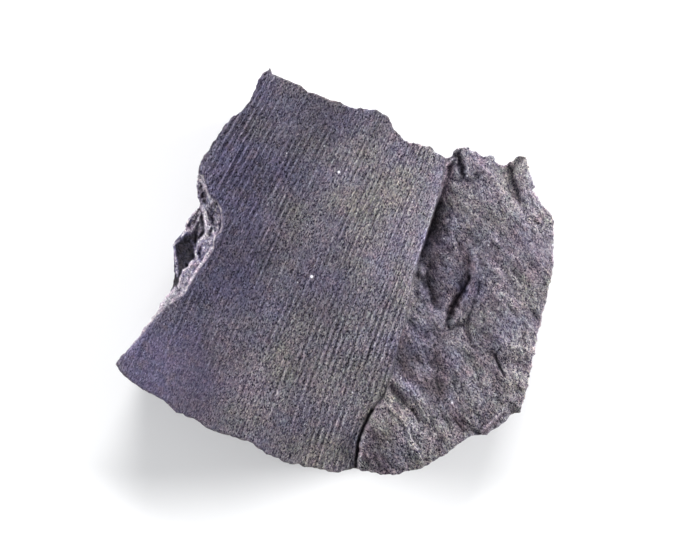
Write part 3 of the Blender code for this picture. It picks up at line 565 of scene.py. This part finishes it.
def stem_relief(x, y):
    """Everything on the imprint finer than its arch: ribs, swells, bands, streaks, flakes."""
    across = rib_coordinate(x, y)
    streaky = 0.9 + 0.5 * smooth_step(-2, 12, across) - 0.4 * blob(x, y, *KNOBBLY_PATCH)
    relief = ribs(x, y) + SWELL_HEIGHT * plan_noise(x, y, 7, 11, 31, 2)
    relief += BAND_HEIGHT * plan_noise(across, y, 1.9, 11, 19)
    relief += STREAK_HEIGHT * streaky * plan_noise(across, y, 0.45, 7, 12, 2, 0.7)
    return relief + flaked(across, y, STEM_FLAKES)


def along_flakes(x, y):
    """Distances along and across the flakes of the rock, which run down to the right."""
    along = x * math.cos(FLAKE_ANGLE) + y * math.sin(FLAKE_ANGLE)
    across = y * math.cos(FLAKE_ANGLE) - x * math.sin(FLAKE_ANGLE)
    return along, across + 0.6 * plan_noise(x, y, 4, 4, 66)


def rock_relief(x, y):
    """Everything on the broken rock finer than the solid's facets: lumps, flakes, streaks."""
    along, across = along_flakes(x, y)
    relief = LUMP_HEIGHT * plan_noise(along, across, 5, 1.8, 41, 2)
    relief += flaked(along, across, ROCK_FLAKES)
    relief += ROCK_STREAK_HEIGHT * plan_noise(along, across, 2.8, 0.55, 37, 2, 0.6)
    calmer_right = 1 - 0.3 * smooth_step(33, 40, x)
    calmer_top = 1 - 0.12 * smooth_step(0, 15, y)
    return relief * calmer_right * calmer_top


def marks(x, y):
    """Relief of the thin cracks, edges and grooves that the solid leaves out."""
    relief = np.zeros(len(x))
    for height, width, line in MARKS:
        wobble = 0.25 * width * plan_noise(x, y, 0.8, 0.8, 90)
        away = distance_to_line(x, y, line) + wobble
        relief += height * np.exp(-((away / (0.5 * width)) ** 2))
    return relief


class SolidTop:
    """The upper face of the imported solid, read from above in mm."""

    def __init__(self, node):
        mesh = node.data
        places = [vert.co / MM for vert in mesh.vertices]
        faces = [tuple(face.vertices) for face in mesh.polygons]
        self.tree = BVHTree.FromPolygons(places, faces)

    def height(self, x, y):
        hit = self.tree.ray_cast(Vector((x, y, 40)), Vector((0, 0, -1)))[0]
        return hit.z if hit else 0

    def soft_height(self, x, y, blur, lowest):
        """Mean height of five places around this one, none taken from below lowest."""
        offsets = ((0, 0), (blur, 0), (-blur, 0), (0, blur), (0, -blur))
        heights = [self.height(x + dx, y + dy) for dx, dy in offsets]
        heights = [height for height in heights if height > lowest] or [lowest]
        return sum(heights) / len(heights)


# ---- outline


def plan_of(line):
    return [place[:2] for place in line]


def on_stem(line):
    x, y = np.array(plan_of(line)).T
    return [(a, b, c) for a, b, c in zip(x, y, stem_height(x, y))]


def coarse_outline():
    """The solid's own rim, as a closed list of (x, y, z)."""
    corners = (
        on_stem(STEM_TOP_EDGE)
        + list(MATRIX_KNOB_EDGE + MATRIX_RIGHT_EDGE + MATRIX_FOOT_EDGE)
        + on_stem(STEM_FOOT_EDGE)
        + list(NOTCH_EDGE)
        + on_stem(STEM_LEFT_EDGE)
    )
    rim = with_shorter_runs(corners + corners[:1], RIM_STEP)[:-1]
    dice = random.Random(11)
    kept = {corner[:2] for corner in corners}
    ragged = []
    for x, y, z in rim:
        if (x, y) not in kept:
            x += dice.uniform(-RIM_JITTER, RIM_JITTER)
            y += dice.uniform(-RIM_JITTER, RIM_JITTER)
        ragged.append((x, y, z))
    return ragged


def frayed(line, size, pinned_ends):
    """The line with small ragged shifts in plan."""
    x, y = np.array(plan_of(line)).T
    shift_x = size * plan_noise(x, y, 0.9, 0.9, 14, 3, 0.6)
    shift_y = size * plan_noise(x, y, 0.9, 0.9, 86, 3, 0.6)
    if pinned_ends:
        shift_x[[0, -1]] = shift_y[[0, -1]] = 0
    return [(a + dx, b + dy, *place[2:]) for a, b, dx, dy, place in zip(x, y, shift_x, shift_y, line)]


def smoothed(ring, reach):
    kernel = np.ones(2 * reach + 1) / (2 * reach + 1)
    wrapped = np.concatenate([ring[-reach:], ring, ring[:reach]])
    return np.stack([np.convolve(wrapped[:, i], kernel, "valid") for i in (0, 1)], axis=1)


def outward_normals(ring):
    run = np.roll(ring, -1, axis=0) - np.roll(ring, 1, axis=0)
    normals = np.stack([-run[:, 1], run[:, 0]], axis=1)
    return normals / np.linalg.norm(normals, axis=1, keepdims=True)


# ---- the stone


def loose_grid(range_x, range_y, step):
    """Places about a step apart in both directions, shifted at random from their grid."""
    grid = np.meshgrid(np.arange(*range_x, step), np.arange(*range_y, step))
    dice = np.random.default_rng(5)
    return [values.ravel() + dice.uniform(-0.3, 0.3, values.size) * step for values in grid]


def loose_points(slab_outline, stem_outline, crest, notch):
    """Places between the lines: rows on the ribs of the imprint, a loose spread on the rock."""
    numbers = np.arange(*RIB_NUMBERS, 1 / SAMPLES_PER_RIB)
    number, row = [grid.ravel() for grid in np.meshgrid(numbers, np.arange(*STEM_ROWS, FINE_ROW))]
    stem_x, stem_y = rib_x(rib_of_number(number), row), row
    rock_x, rock_y = loose_grid(*ROCK_SPAN, FINE_ROCK_STEP)
    notch_x, notch_y = loose_grid(*NOTCH_SPAN, FINE_NOTCH_STEP)
    x = np.concatenate([stem_x, rock_x, notch_x])
    y = np.concatenate([stem_y, rock_y, notch_y])
    wants_stem = np.arange(len(x)) < len(stem_x)
    keep = is_inside(x, y, slab_outline) & (is_inside(x, y, stem_outline) == wants_stem)
    x, y = x[keep], y[keep]
    gap = np.minimum(
        distance_to_line(x, y, slab_outline + slab_outline[:1]),
        np.minimum(distance_to_line(x, y, crest), distance_to_line(x, y, notch)),
    )
    return zip(x[gap > EDGE_GAP], y[gap > EDGE_GAP])


def net_over(places, lines):
    """A net over these places that keeps the lines: its triangles are drawn out along the ribs."""
    flat = [Vector((rib_coordinate(a, b), b)) for a, b in places]
    found = delaunay_2d_cdt(flat, lines, [], 1, 1e-4)
    origins = [origin[0] if origin else -1 for origin in found[3]]
    if min(origins) < 0:
        raise ValueError("lines of the upper face cross each other")
    order = np.argsort(origins)
    new_number = np.empty(len(order), int)
    new_number[order] = np.arange(len(order))
    triangles = [tuple(new_number[list(face)]) for face in found[2]]
    x, y = np.array([places[origins[i]] for i in order]).T
    return x, y, triangles


def upper_face():
    """Points and triangles of the upper face in plan, and the rim, borders and stem in it."""
    coarse = coarse_outline()
    rim = frayed(with_shorter_runs(coarse + coarse[:1], FINE_EDGE_STEP)[:-1], RIM_FRAY, False)
    crest = frayed(with_shorter_runs(SCARP_CREST, FINE_EDGE_STEP), CREST_FRAY, True)[1:-1]
    notch = frayed(with_shorter_runs(NOTCH_RIM, FINE_EDGE_STEP), NOTCH_FRAY, True)[1:-1]
    stem_outline = list(STEM_TOP_EDGE) + crest + list(STEM_FOOT_EDGE) + notch + list(STEM_LEFT_EDGE)
    slab_outline = plan_of(rim)
    places = slab_outline + crest + notch
    places += loose_points(slab_outline, stem_outline, crest, notch)
    lines = [(i, (i + 1) % len(rim)) for i in range(len(rim))]
    for first, line in ((len(rim), crest), (len(rim) + len(crest), notch)):
        lines += [(first + i, first + i + 1) for i in range(len(line) - 1)]
    x, y, triangles = net_over(places, lines)
    return x, y, triangles, rim, (crest, notch), stem_outline


def tone(x, y, z, on_stem_face, in_notch):
    """How light the shale is at each place of the upper face, 1 being its usual colour, with painted
    light and shade in it: the imprint's right side, the rib crests and grooves, the notch, its chunk,
    edges and hollows, and the valley beside the scarp.
    """
    arch = rib_coordinate(x, y)
    stem = STEM_TONE
    # painted light, growing towards the imprint's right
    for added, start, end in STEM_PAINTED_LIGHT_STEPS:
        stem = stem + added * smooth_step(start, end, arch)
    stem += patches_at(x, y, STEM_PATCHES) + 0.15 * plan_noise(x, y, 9, 16, 15, 2)
    # painted light on the rib crests and painted shade in the grooves, with some wear
    crest_share = np.clip(ribs(x, y) / RIB_HEIGHT, 0, 1.1)
    stem *= GROOVE_PAINTED_SHADE + CREST_WEAR_AND_PAINTED_LIGHT * crest_share**2
    along, across = along_flakes(x, y)
    rock = ROCK_TONE + patches_at(x, y, ROCK_PATCHES) + 0.15 * plan_noise(x, y, 6, 6, 25, 2)
    rock += 0.22 * plan_noise(along, across, 7, 1.6, 95, 2)
    # streaks, among them a painted shadow beside the scarp and painted light along a crest
    for added, width, _, line in ROCK_STREAKS_AND_SHADE:
        rock += added * nearness(x, y, line, width)
    # the low chunk: its own darker colour and painted shade
    chunk = smooth_step(*CHUNK_HEIGHTS, z) * smooth_step(*CHUNK_END, y)
    # the notch lighter: partly paler fresh breaks, partly painted light
    notch = NOTCH_TONE + 1.2 * plan_noise(x, y, 0.7, 0.7, 35, 3)
    notch *= 1 - CHUNK_DARK_AND_SHADE * chunk
    # painted highlights on the notch's edges and painted shade in its hollows
    for added, width, line in NOTCH_HIGHLIGHTS_AND_SHADE:
        notch += added * nearness(x, y, line, width)
    value = np.where(on_stem_face, stem, np.where(in_notch, notch, rock))
    return np.clip(value, 0.2, 7)


def warmth(x, y, on_stem_face):
    """From -1 where the shale is violet to 1 where it is olive."""
    value = 0.75 * plan_noise(x, y, 8, 8, 45, 3)
    value += np.where(on_stem_face, 0.4 * smooth_step(-12, 4, rib_coordinate(x, y)), 0.55)
    return np.clip(value - patches_at(x, y, VIOLET_PATCHES), -1, 1)


def plum(x, y, in_notch, on_stem_face):
    """The share of reddish violet."""
    along, across = along_flakes(x, y)
    value = 0.8 * plan_noise(along, across, 6, 2, 65, 2)
    for _, width, share, line in ROCK_STREAKS_AND_SHADE:
        value = value + share * nearness(x, y, line, width)
    stem = 0.4 * plan_noise(x, y, 9, 12, 55, 2)
    stem += patches_at(x, y, PLUM_PATCHES)
    value = np.where(in_notch, 0.1 + 1.2 * plan_noise(x, y, 1, 1, 85, 2), value)
    return np.clip(np.where(on_stem_face, stem, value), 0, 1)


def grit(x, y, on_stem_face):
    """How strong the grain of the shale is: fine in the worn left part of the imprint."""
    left = smooth_step(-2, -16, rib_coordinate(x, y))
    stem = 1.15 + 0.04 * left + patches_at(x, y, GRIT_PATCHES)
    rock = 1.08 + 0.2 * plan_noise(x, y, 6, 6, 75) + 0.25 * smooth_step(-10, -25, y)
    return np.where(on_stem_face, stem, rock)


def rock_heights(x, y, from_rim, from_edges, rim, solid):
    """The solid's heights at these places of the rock, its straight edges bent and softened."""
    tree = kdtree.KDTree(len(rim))
    for i, place in enumerate(rim):
        tree.insert((place[0], place[1], 0), i)
    tree.balance()
    calm = smooth_step(0.1, 1.2, from_edges)
    warped_x = x + WARP * calm * plan_noise(x, y, 1.1, 1.1, 51, 2, 0.6)
    warped_y = y + WARP * calm * plan_noise(x, y, 1.1, 1.1, 58, 2, 0.6)
    z = np.empty(len(x))
    for i in range(len(x)):
        rim_height = rim[tree.find((x[i], y[i], 0))[1]][2]
        lowest = rim_height - (0.8 if from_rim[i] < 1 else 5)
        z[i] = solid.soft_height(warped_x[i], warped_y[i], SOFTENING, lowest)
    return z


def heights(x, y, rim, borders, stem_outline, solid):
    """Heights of the upper face, with what the material is told of each point."""
    crest, notch = borders
    count = len(rim)
    slab_outline = plan_of(rim)
    on_stem_face = is_inside(x, y, stem_outline)
    on_stem_face[count : count + len(crest) + len(notch)] = True
    rock = ~on_stem_face
    from_rim = distance_to_line(x, y, slab_outline + slab_outline[:1])
    from_notch = distance_to_line(x, y, notch)
    from_borders = np.minimum(distance_to_line(x, y, crest), from_notch)
    from_edges = np.minimum(from_rim, from_borders)

    z = stem_height(x, y) + stem_relief(x, y) * (0.35 + 0.65 * smooth_step(-0.1, 0.8, from_edges))
    rim_wear = RIM_WEAR * np.maximum(0, 1 - from_rim / 0.7) ** 2
    z -= rim_wear + NOTCH_WEAR * np.maximum(0, 1 - from_notch / 0.5)
    z[rock] = rock_heights(x[rock], y[rock], from_rim[rock], from_edges[rock], rim, solid)
    rock_fade = 0.3 + 0.7 * smooth_step(0, 0.9, from_borders)
    z[rock] += rock_relief(x[rock], y[rock]) * rock_fade[rock]
    z += marks(x, y) * smooth_step(0, 0.4, from_rim)
    rim_heights = np.array([place[2] for place in rim])
    rim_noise = plan_noise(x[:count], y[:count], 0.8, 0.8, 3, 2)
    z[:count] = rim_heights + RIM_ROUGHNESS * rim_noise

    in_notch = rock & (x < 0)
    attributes = {
        "tone": tone(x, y, z, on_stem_face, in_notch),
        "warmth": warmth(x, y, on_stem_face),
        "plum": plum(x, y, in_notch, on_stem_face),
        "grit": grit(x, y, on_stem_face),
        "imprint": on_stem_face.astype(float),
    }
    return z, attributes


def bed_rings(rim, inner, normals, number):
    """Plan places and heights of a bed's two rings: the foot of its face, the ledge under it."""
    height_left, blend, set_back, widest_ledge = BEDS[number]
    is_lowest = number == len(BEDS) - 1
    plan, rim_height = rim[:, :2], rim[:, 2]
    inward = (inner - plan) * blend
    outward_part = np.maximum(0, np.sum(inward * normals, axis=1, keepdims=True))
    inward = inward - normals * outward_part
    places = np.array([*plan.T, np.full(len(plan), 40 * number)])
    rough = FACE_ROUGHNESS * noise_at(*places * 0.6)
    face = plan + inward - normals * np.maximum(0, set_back + rough)[:, None]
    step = widest_ledge * np.clip(0.5 + 1.6 * noise_at(*places * 0.11), 0.1, 1)
    share = np.full(len(plan), height_left)
    if not is_lowest:
        share += BED_WOBBLE * noise_at(*places * 0.045)
    drop = share if is_lowest else LEDGE_DROP
    foot = np.column_stack([face, rim_height * share])
    ledge = np.column_stack([face - normals * step[:, None], rim_height * (share - drop)])
    return foot, ledge


def side_rows(rim, coarse_count):
    """Rings of points from just under the rim to the resting face, the last one included."""
    reach = round(SMOOTHING_REACH * len(rim) / coarse_count)
    inner = smoothed(smoothed(rim[:, :2], reach), reach)
    normals = outward_normals(inner)
    rows, upper = [], rim
    for number in range(len(BEDS)):
        for ring in bed_rings(rim, inner, normals, number):
            gap = np.linalg.norm(ring - upper, axis=1).mean()
            parts = max(1, round(gap / SIDE_ROW))
            rows += [upper + (ring - upper) * part / parts for part in range(1, parts + 1)]
            upper = ring
    return rows


def lamina_shift(x, y, z):
    """How far the broken sides stand in or out at each place: thin beds, chips and grit."""
    shift = np.zeros(len(x))
    for thickness, size, layer in LAMINAE:
        bent = z / thickness + 0.5 * plan_noise(x, y, 14, 14, 10 * layer)
        lamina = np.floor(bent)
        shift += size * noise_at(x * 0.22, y * 0.22, lamina * 7.7 + layer)
    return shift + CHIP_SIZE * noise_at(x / 1.3, y / 1.3, z / 0.8, 3, 0.6)


def side_beds(x, y, z):
    """How much lighter or darker the thin beds of the sides are."""
    bent = z / 0.9 + 0.4 * plan_noise(x, y, 16, 16, 44)
    beds = 0.3 * noise_at(x / 25, y / 25, bent, 2, 0.7)
    return beds + 0.25 * noise_at(x / 3, y / 3, z / 2, 3, 0.6)


def add_sides(bm, upper, rows, layers):
    """Adds the rings of points under the rim with their faces, and returns the rings."""
    rings = []
    for row in rows:
        lower = [bm.verts.new(place) for place in row]
        for i in range(len(row)):
            bm.faces.new((upper[i], upper[i - 1], lower[i - 1], lower[i]))
        for vert, tone_there in zip(lower, SIDE_TONE + side_beds(*row.T)):
            vert[layers["tone"]] = tone_there
            vert[layers["warmth"]] = SIDE_WARMTH
            vert[layers["grit"]] = 1
        rings.append(lower)
        upper = lower
    return rings


def make_stone():
    x, y, triangles, rim, borders, stem_outline = upper_face()
    z, attributes = heights(x, y, rim, borders, stem_outline, SolidTop(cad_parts[NODE]))
    top = np.column_stack([x, y, z])

    bm = bmesh.new()
    layers = {name: bm.verts.layers.float.new(name) for name in attributes}
    verts = [bm.verts.new(place) for place in top]
    for name, values in attributes.items():
        for vert, value in zip(verts, values):
            vert[layers[name]] = value
    for face in triangles:
        bm.faces.new([verts[i] for i in face])
    rows = side_rows(top[: len(rim)], len(coarse_outline()))
    rings = add_sides(bm, verts[: len(rim)], rows, layers)
    close_underside(bm, rings[-1])
    bmesh.ops.recalc_face_normals(bm, faces=bm.faces)
    roughen_sides(rings[:-1])
    bmesh.ops.scale(bm, vec=(MM, MM, MM), verts=bm.verts)
    mesh = bpy.data.meshes.new("shale_slab")
    bm.to_mesh(mesh)
    bm.free()
    mesh.shade_smooth()
    add_cavity_shade(mesh)
    stone = bpy.data.objects.new("shale_slab", mesh)
    bpy.context.scene.collection.objects.link(stone)
    return stone


def values_of(items, name, width, kind):
    values = np.empty(len(items) * width, kind)
    items.foreach_get(name, values)
    return values.reshape(-1, width)


def add_cavity_shade(mesh):
    """Marks how far each vertex stands out of the surface around it, in tenths of a mm: from these
    marks the material paints shade into the hollows and light onto what stands out.
    """
    places = values_of(mesh.vertices, "co", 3, float)
    normals = values_of(mesh.vertex_normals, "vector", 3, float)
    edges = values_of(mesh.edges, "vertices", 2, int)
    first, second = edges.T
    degree = np.bincount(edges.ravel(), minlength=len(places))[:, None]
    mean = places
    for name, rounds in (("fine_cavity_shade", 2), ("broad_cavity_shade", 8)):
        for _ in range(rounds):
            total = np.zeros_like(places)
            np.add.at(total, first, mean[second])
            np.add.at(total, second, mean[first])
            mean = 0.5 * mean + 0.5 * total / degree
        out = np.sum((places - mean) * normals, axis=1) / (0.1 * MM)
        mesh.attributes.new(name, "FLOAT", "POINT").data.foreach_set("value", out.astype(np.float32))


def close_underside(bm, ring):
    """Fills the resting face, with shallow hollows that leave most of it on the floor."""
    polygon = [tuple(vert.co.xy) for vert in ring]
    steps = np.arange(*UNDERSIDE_SPAN, UNDERSIDE_STEP)
    x, y = [grid.ravel() for grid in np.meshgrid(steps, steps)]
    clear = distance_to_line(x, y, polygon + polygon[:1]) > 0.8
    keep = is_inside(x, y, polygon) & clear
    x, y = x[keep], y[keep]
    hollow = np.maximum(0, HOLLOW_DEPTH * plan_noise(x, y, 9, 9, 70, 2))
    inner = [bm.verts.new(place) for place in zip(x, y, hollow)]
    verts = ring + inner
    lines = [(i, (i + 1) % len(ring)) for i in range(len(ring))]
    found = delaunay_2d_cdt([vert.co.xy for vert in verts], lines, [], 1, 1e-5)
    for face in found[2]:
        bm.faces.new([verts[found[3][i][0]] for i in reversed(face)])


def roughen_sides(rows):
    """Moves the points of the sides along their normals by the laminae."""
    for vert in rows[0]:
        vert.normal_update()
    moved = []
    for number, row in enumerate(rows):
        for vert in row:
            vert.normal_update()
        x, y, z = np.array([vert.co for vert in row]).T
        shift = lamina_shift(x, y, z) * min(1, (number + 1) / 3)
        moved.append([vert.co + vert.normal * (size - SIDE_INSET) for vert, size in zip(row, shift)])
    for row, places in zip(rows, moved):
        for vert, place in zip(row, places):
            vert.co = place
            vert.co.z = max(0.02, vert.co.z)


# ---- materials


class Nodes:
    """A new material and its nodes; most methods give an output that the next one takes."""

    def __init__(self, name):
        self.material = bpy.data.materials.new(name)
        self.material.use_nodes = True
        self.tree = self.material.node_tree
        self.place = self.add("ShaderNodeTexCoord").outputs["Object"]

    def fill(self, node, inputs):
        """Links the inputs that are given as outputs of other nodes, and sets the rest."""
        for key, value in inputs.items():
            if isinstance(value, bpy.types.NodeSocket):
                self.tree.links.new(value, node.inputs[key])
            else:
                node.inputs[key].default_value = value

    def fill_shader(self, inputs):
        self.fill(self.tree.nodes["Principled BSDF"], inputs)

    def add(self, kind, inputs=None, **settings):
        node = self.tree.nodes.new(kind)
        for key, value in settings.items():
            setattr(node, key, value)
        self.fill(node, inputs or {})
        return node

    def attribute(self, name):
        return self.add("ShaderNodeAttribute", attribute_name=name).outputs["Fac"]

    def spread(self, value, low, high, to_low=0, to_high=1):
        """Maps low..high to to_low..to_high, and holds the value there."""
        inputs = {"Value": value, "From Min": low, "From Max": high}
        inputs |= {"To Min": to_low, "To Max": to_high}
        return self.add("ShaderNodeMapRange", inputs).outputs["Result"]

    def operate(self, operation, first, second):
        return self.add("ShaderNodeMath", {0: first, 1: second}, operation=operation).outputs[0]

    def times(self, first, *others):
        for other in others:
            first = self.operate("MULTIPLY", first, other)
        return first

    def blend(self, share, first, second, how="MIX"):
        """A colour between two colours."""
        inputs = {"Factor": share, 6: first, 7: second}
        return self.add("ShaderNodeMix", inputs, data_type="RGBA", blend_type=how).outputs[2]

    def grain(self, waves, detail=3, rough=0.55, vector=None):
        vector = self.place if vector is None else vector
        inputs = {"Vector": vector, "Scale": waves, "Detail": detail, "Roughness": rough}
        return self.add("ShaderNodeTexNoise", inputs).outputs["Fac"]

    def cells(self, scale, vector):
        """Three random shares for each cell of grains this fine."""
        inputs = {"Vector": vector, "Scale": scale}
        colour_of_cell = self.add("ShaderNodeTexVoronoi", inputs).outputs["Color"]
        return self.add("ShaderNodeSeparateColor", {0: colour_of_cell}).outputs

    def drawn_out(self, angle, stretch):
        """The place, with the grain stretched along this direction."""
        inputs = {"Vector": self.place, "Rotation": (0, 0, angle), "Scale": (1, stretch, 1)}
        return self.add("ShaderNodeMapping", inputs, vector_type="TEXTURE").outputs[0]


def grain_direction(nodes):
    """The place for the grain: drawn out along the ribs or along the flakes of the rock."""
    with_flakes = nodes.drawn_out(FLAKE_ANGLE + math.pi / 2, GRAIN_STRETCH)
    along_ribs = nodes.drawn_out(-math.atan(RIB_LEAN), GRAIN_STRETCH)
    inputs = {"Factor": nodes.attribute("imprint"), 4: with_flakes, 5: along_ribs}
    return nodes.add("ShaderNodeMix", inputs, data_type="VECTOR").outputs[1]


def grain_light_and_hollow_shade(nodes, fine_cell, direction):
    """How light each grain is, 1 being usual: speckled, with painted shade in fine hollows and
    painted light on fine bumps.
    """
    speckle = nodes.times(
        nodes.spread(fine_cell, 0, 1, 0.1, 1.9),
        nodes.spread(nodes.cells(BROAD_CELLS, direction)[0], 0, 1, 0.93, 1.07),
        nodes.spread(nodes.grain(GRAIN_WAVES, 2, 0.7, direction), 0.3, 0.7, 0.85, 1.15),
    )
    inputs = {"Factor": nodes.attribute("grit"), "A": 1, "B": speckle}
    speckle = nodes.add("ShaderNodeMix", inputs, clamp_factor=False).outputs[0]
    # painted shade in fine hollows and painted light on fine bumps
    hollow_shade = nodes.spread(nodes.attribute("fine_cavity_shade"), -0.8, 0.8, 0.73, 1.3)
    return nodes.operate("MAXIMUM", nodes.times(speckle, hollow_shade), DARKEST_GRAIN)


def shale_hue(nodes):
    """The colour of the shale before its tone and grain."""
    hue = nodes.blend(nodes.spread(nodes.attribute("warmth"), -0.8, 0.9), VIOLET, OLIVE)
    hue = nodes.blend(nodes.spread(nodes.grain(PLUM_WAVES), 0.52, 0.68, 0, 0.6), hue, PLUM)
    # the lightest places, the notch's painted highlights among them, take the pale hue
    hue = nodes.blend(nodes.spread(nodes.attribute("tone"), 1.6, 2.6), hue, PALE)
    return nodes.blend(nodes.attribute("plum"), hue, PLUM)


def white_specks(nodes):
    """How white each place is: round specks in plan."""
    inputs = {0: nodes.place, 1: (1, 1, 0)}
    flat = nodes.add("ShaderNodeVectorMath", inputs, operation="MULTIPLY").outputs[0]
    whiteness = 0
    for x, y, radius, strength in WHITE_SPECKS:
        inputs = {0: flat, 1: (x * MM, y * MM, 0)}
        away = nodes.add("ShaderNodeVectorMath", inputs, operation="DISTANCE").outputs["Value"]
        speck = nodes.spread(away, 0.55 * radius * MM, radius * MM, strength, 0)
        whiteness = nodes.operate("MAXIMUM", whiteness, speck)
    return whiteness


def shale_material():
    nodes = Nodes("dark_shale")
    direction = grain_direction(nodes)
    fine_cell, red_cell, blue_cell = nodes.cells(FINE_CELLS, direction)
    # the grain's light, with the painted shade of fine hollows in it
    fine = grain_light_and_hollow_shade(nodes, fine_cell, direction)
    light = nodes.times(
        nodes.attribute("tone"),
        fine,
        # painted shade in broad hollows and painted light on broad swells
        nodes.spread(nodes.attribute("broad_cavity_shade"), -3, 3, 0.62, 1.32),
        # painted glints: the lightest few grains up to 1.3 times lighter
        nodes.spread(fine_cell, 0.93, 0.99, 1, 1.3),
    )
    red = nodes.times(
        nodes.spread(red_cell, 0, 1, 0.94, 1.06),
        nodes.spread(nodes.grain(RED_WAVES, 3, 0.7), 0.3, 0.7, 0.92, 1.09),
        nodes.operate("POWER", fine, RED_FALL),
    )
    blue_share = nodes.spread(blue_cell, 0, 1, 0.96, 1.11)
    blue = nodes.times(blue_share, nodes.operate("POWER", fine, BLUE_FALL))
    channels = {0: nodes.times(light, red), 1: light, 2: nodes.times(light, blue)}
    tinted_light = nodes.add("ShaderNodeCombineColor", channels).outputs[0]
    colour = nodes.blend(1, shale_hue(nodes), tinted_light, "MULTIPLY")
    colour = nodes.blend(white_specks(nodes), colour, WHITE)

    roughness = nodes.spread(nodes.grain(GLOSS_WAVES, 2), 0.3, 0.7, 0.5, 0.8)
    inputs = {"Height": nodes.grain(BUMP_WAVES, 3, 0.7), "Strength": 1, "Distance": BROAD_BUMP}
    broad = nodes.add("ShaderNodeBump", inputs).outputs[0]
    inputs = {"Height": fine_cell, "Strength": 1, "Distance": FINE_BUMP, "Normal": broad}
    normal = nodes.add("ShaderNodeBump", inputs).outputs[0]
    nodes.fill_shader({"Base Color": colour, "Roughness": roughness, "Normal": normal})
    nodes.fill_shader({"Specular IOR Level": SPECULAR})
    return nodes.material


def floor_material():
    nodes = Nodes("pale_floor")
    tint = nodes.blend(nodes.grain(9, 2, 0.5), *FLOOR_COLOURS)
    nodes.fill_shader({"Base Color": tint, "Roughness": 0.9})
    return nodes.material


# ---- stage


def make_floor():
    bpy.ops.mesh.primitive_plane_add(size=FLOOR_SIZE, location=(0, 0, -FLOOR_DROP))
    floor = bpy.context.object
    floor.name = "floor"
    floor.data.materials.append(floor_material())


def add_sun(name, azimuth, elevation, strength, spread):
    """A soft light from this compass direction: 0 is right (+X), 90 is the top of the slab (+Y)."""
    light = bpy.data.lights.new(name, "SUN")
    light.energy = strength
    light.angle = math.radians(spread)
    lamp = bpy.data.objects.new(name, light)
    lamp.rotation_euler = (math.radians(90 - elevation), 0, math.radians(azimuth + 90))
    bpy.context.scene.collection.objects.link(lamp)


def make_light():
    world = bpy.data.worlds.new("studio")
    world.use_nodes = True
    background = world.node_tree.nodes["Background"]
    background.inputs["Color"].default_value = SKY_COLOUR
    background.inputs["Strength"].default_value = SKY_STRENGTH
    bpy.context.scene.world = world
    for sun in SUNS:
        add_sun(*sun)


def make_camera():
    camera = bpy.data.cameras.new("camera")
    camera.sensor_width = SENSOR
    frame_width = IMAGE_SIZE[0] / PIXELS_PER_MM
    camera.lens = SENSOR * (CAMERA_HEIGHT - SHARP_HEIGHT) / frame_width
    camera.clip_start = 0.01
    eye = bpy.data.objects.new("camera", camera)
    shift_x = (IMAGE_SIZE[0] / 2 - SLAB_CENTRE_PIXEL[0]) / PIXELS_PER_MM
    shift_y = (SLAB_CENTRE_PIXEL[1] - IMAGE_SIZE[1] / 2) / PIXELS_PER_MM
    eye.location = (shift_x * MM, shift_y * MM, CAMERA_HEIGHT * MM)
    bpy.context.scene.collection.objects.link(eye)
    bpy.context.scene.camera = eye
    bpy.context.scene.view_settings.view_transform = "Standard"


def main():
    make_camera()
    make_floor()
    make_light()
    stone = make_stone()
    stone.data.materials.append(shale_material())
    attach(stone, "root")
    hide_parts(NODE)


main()
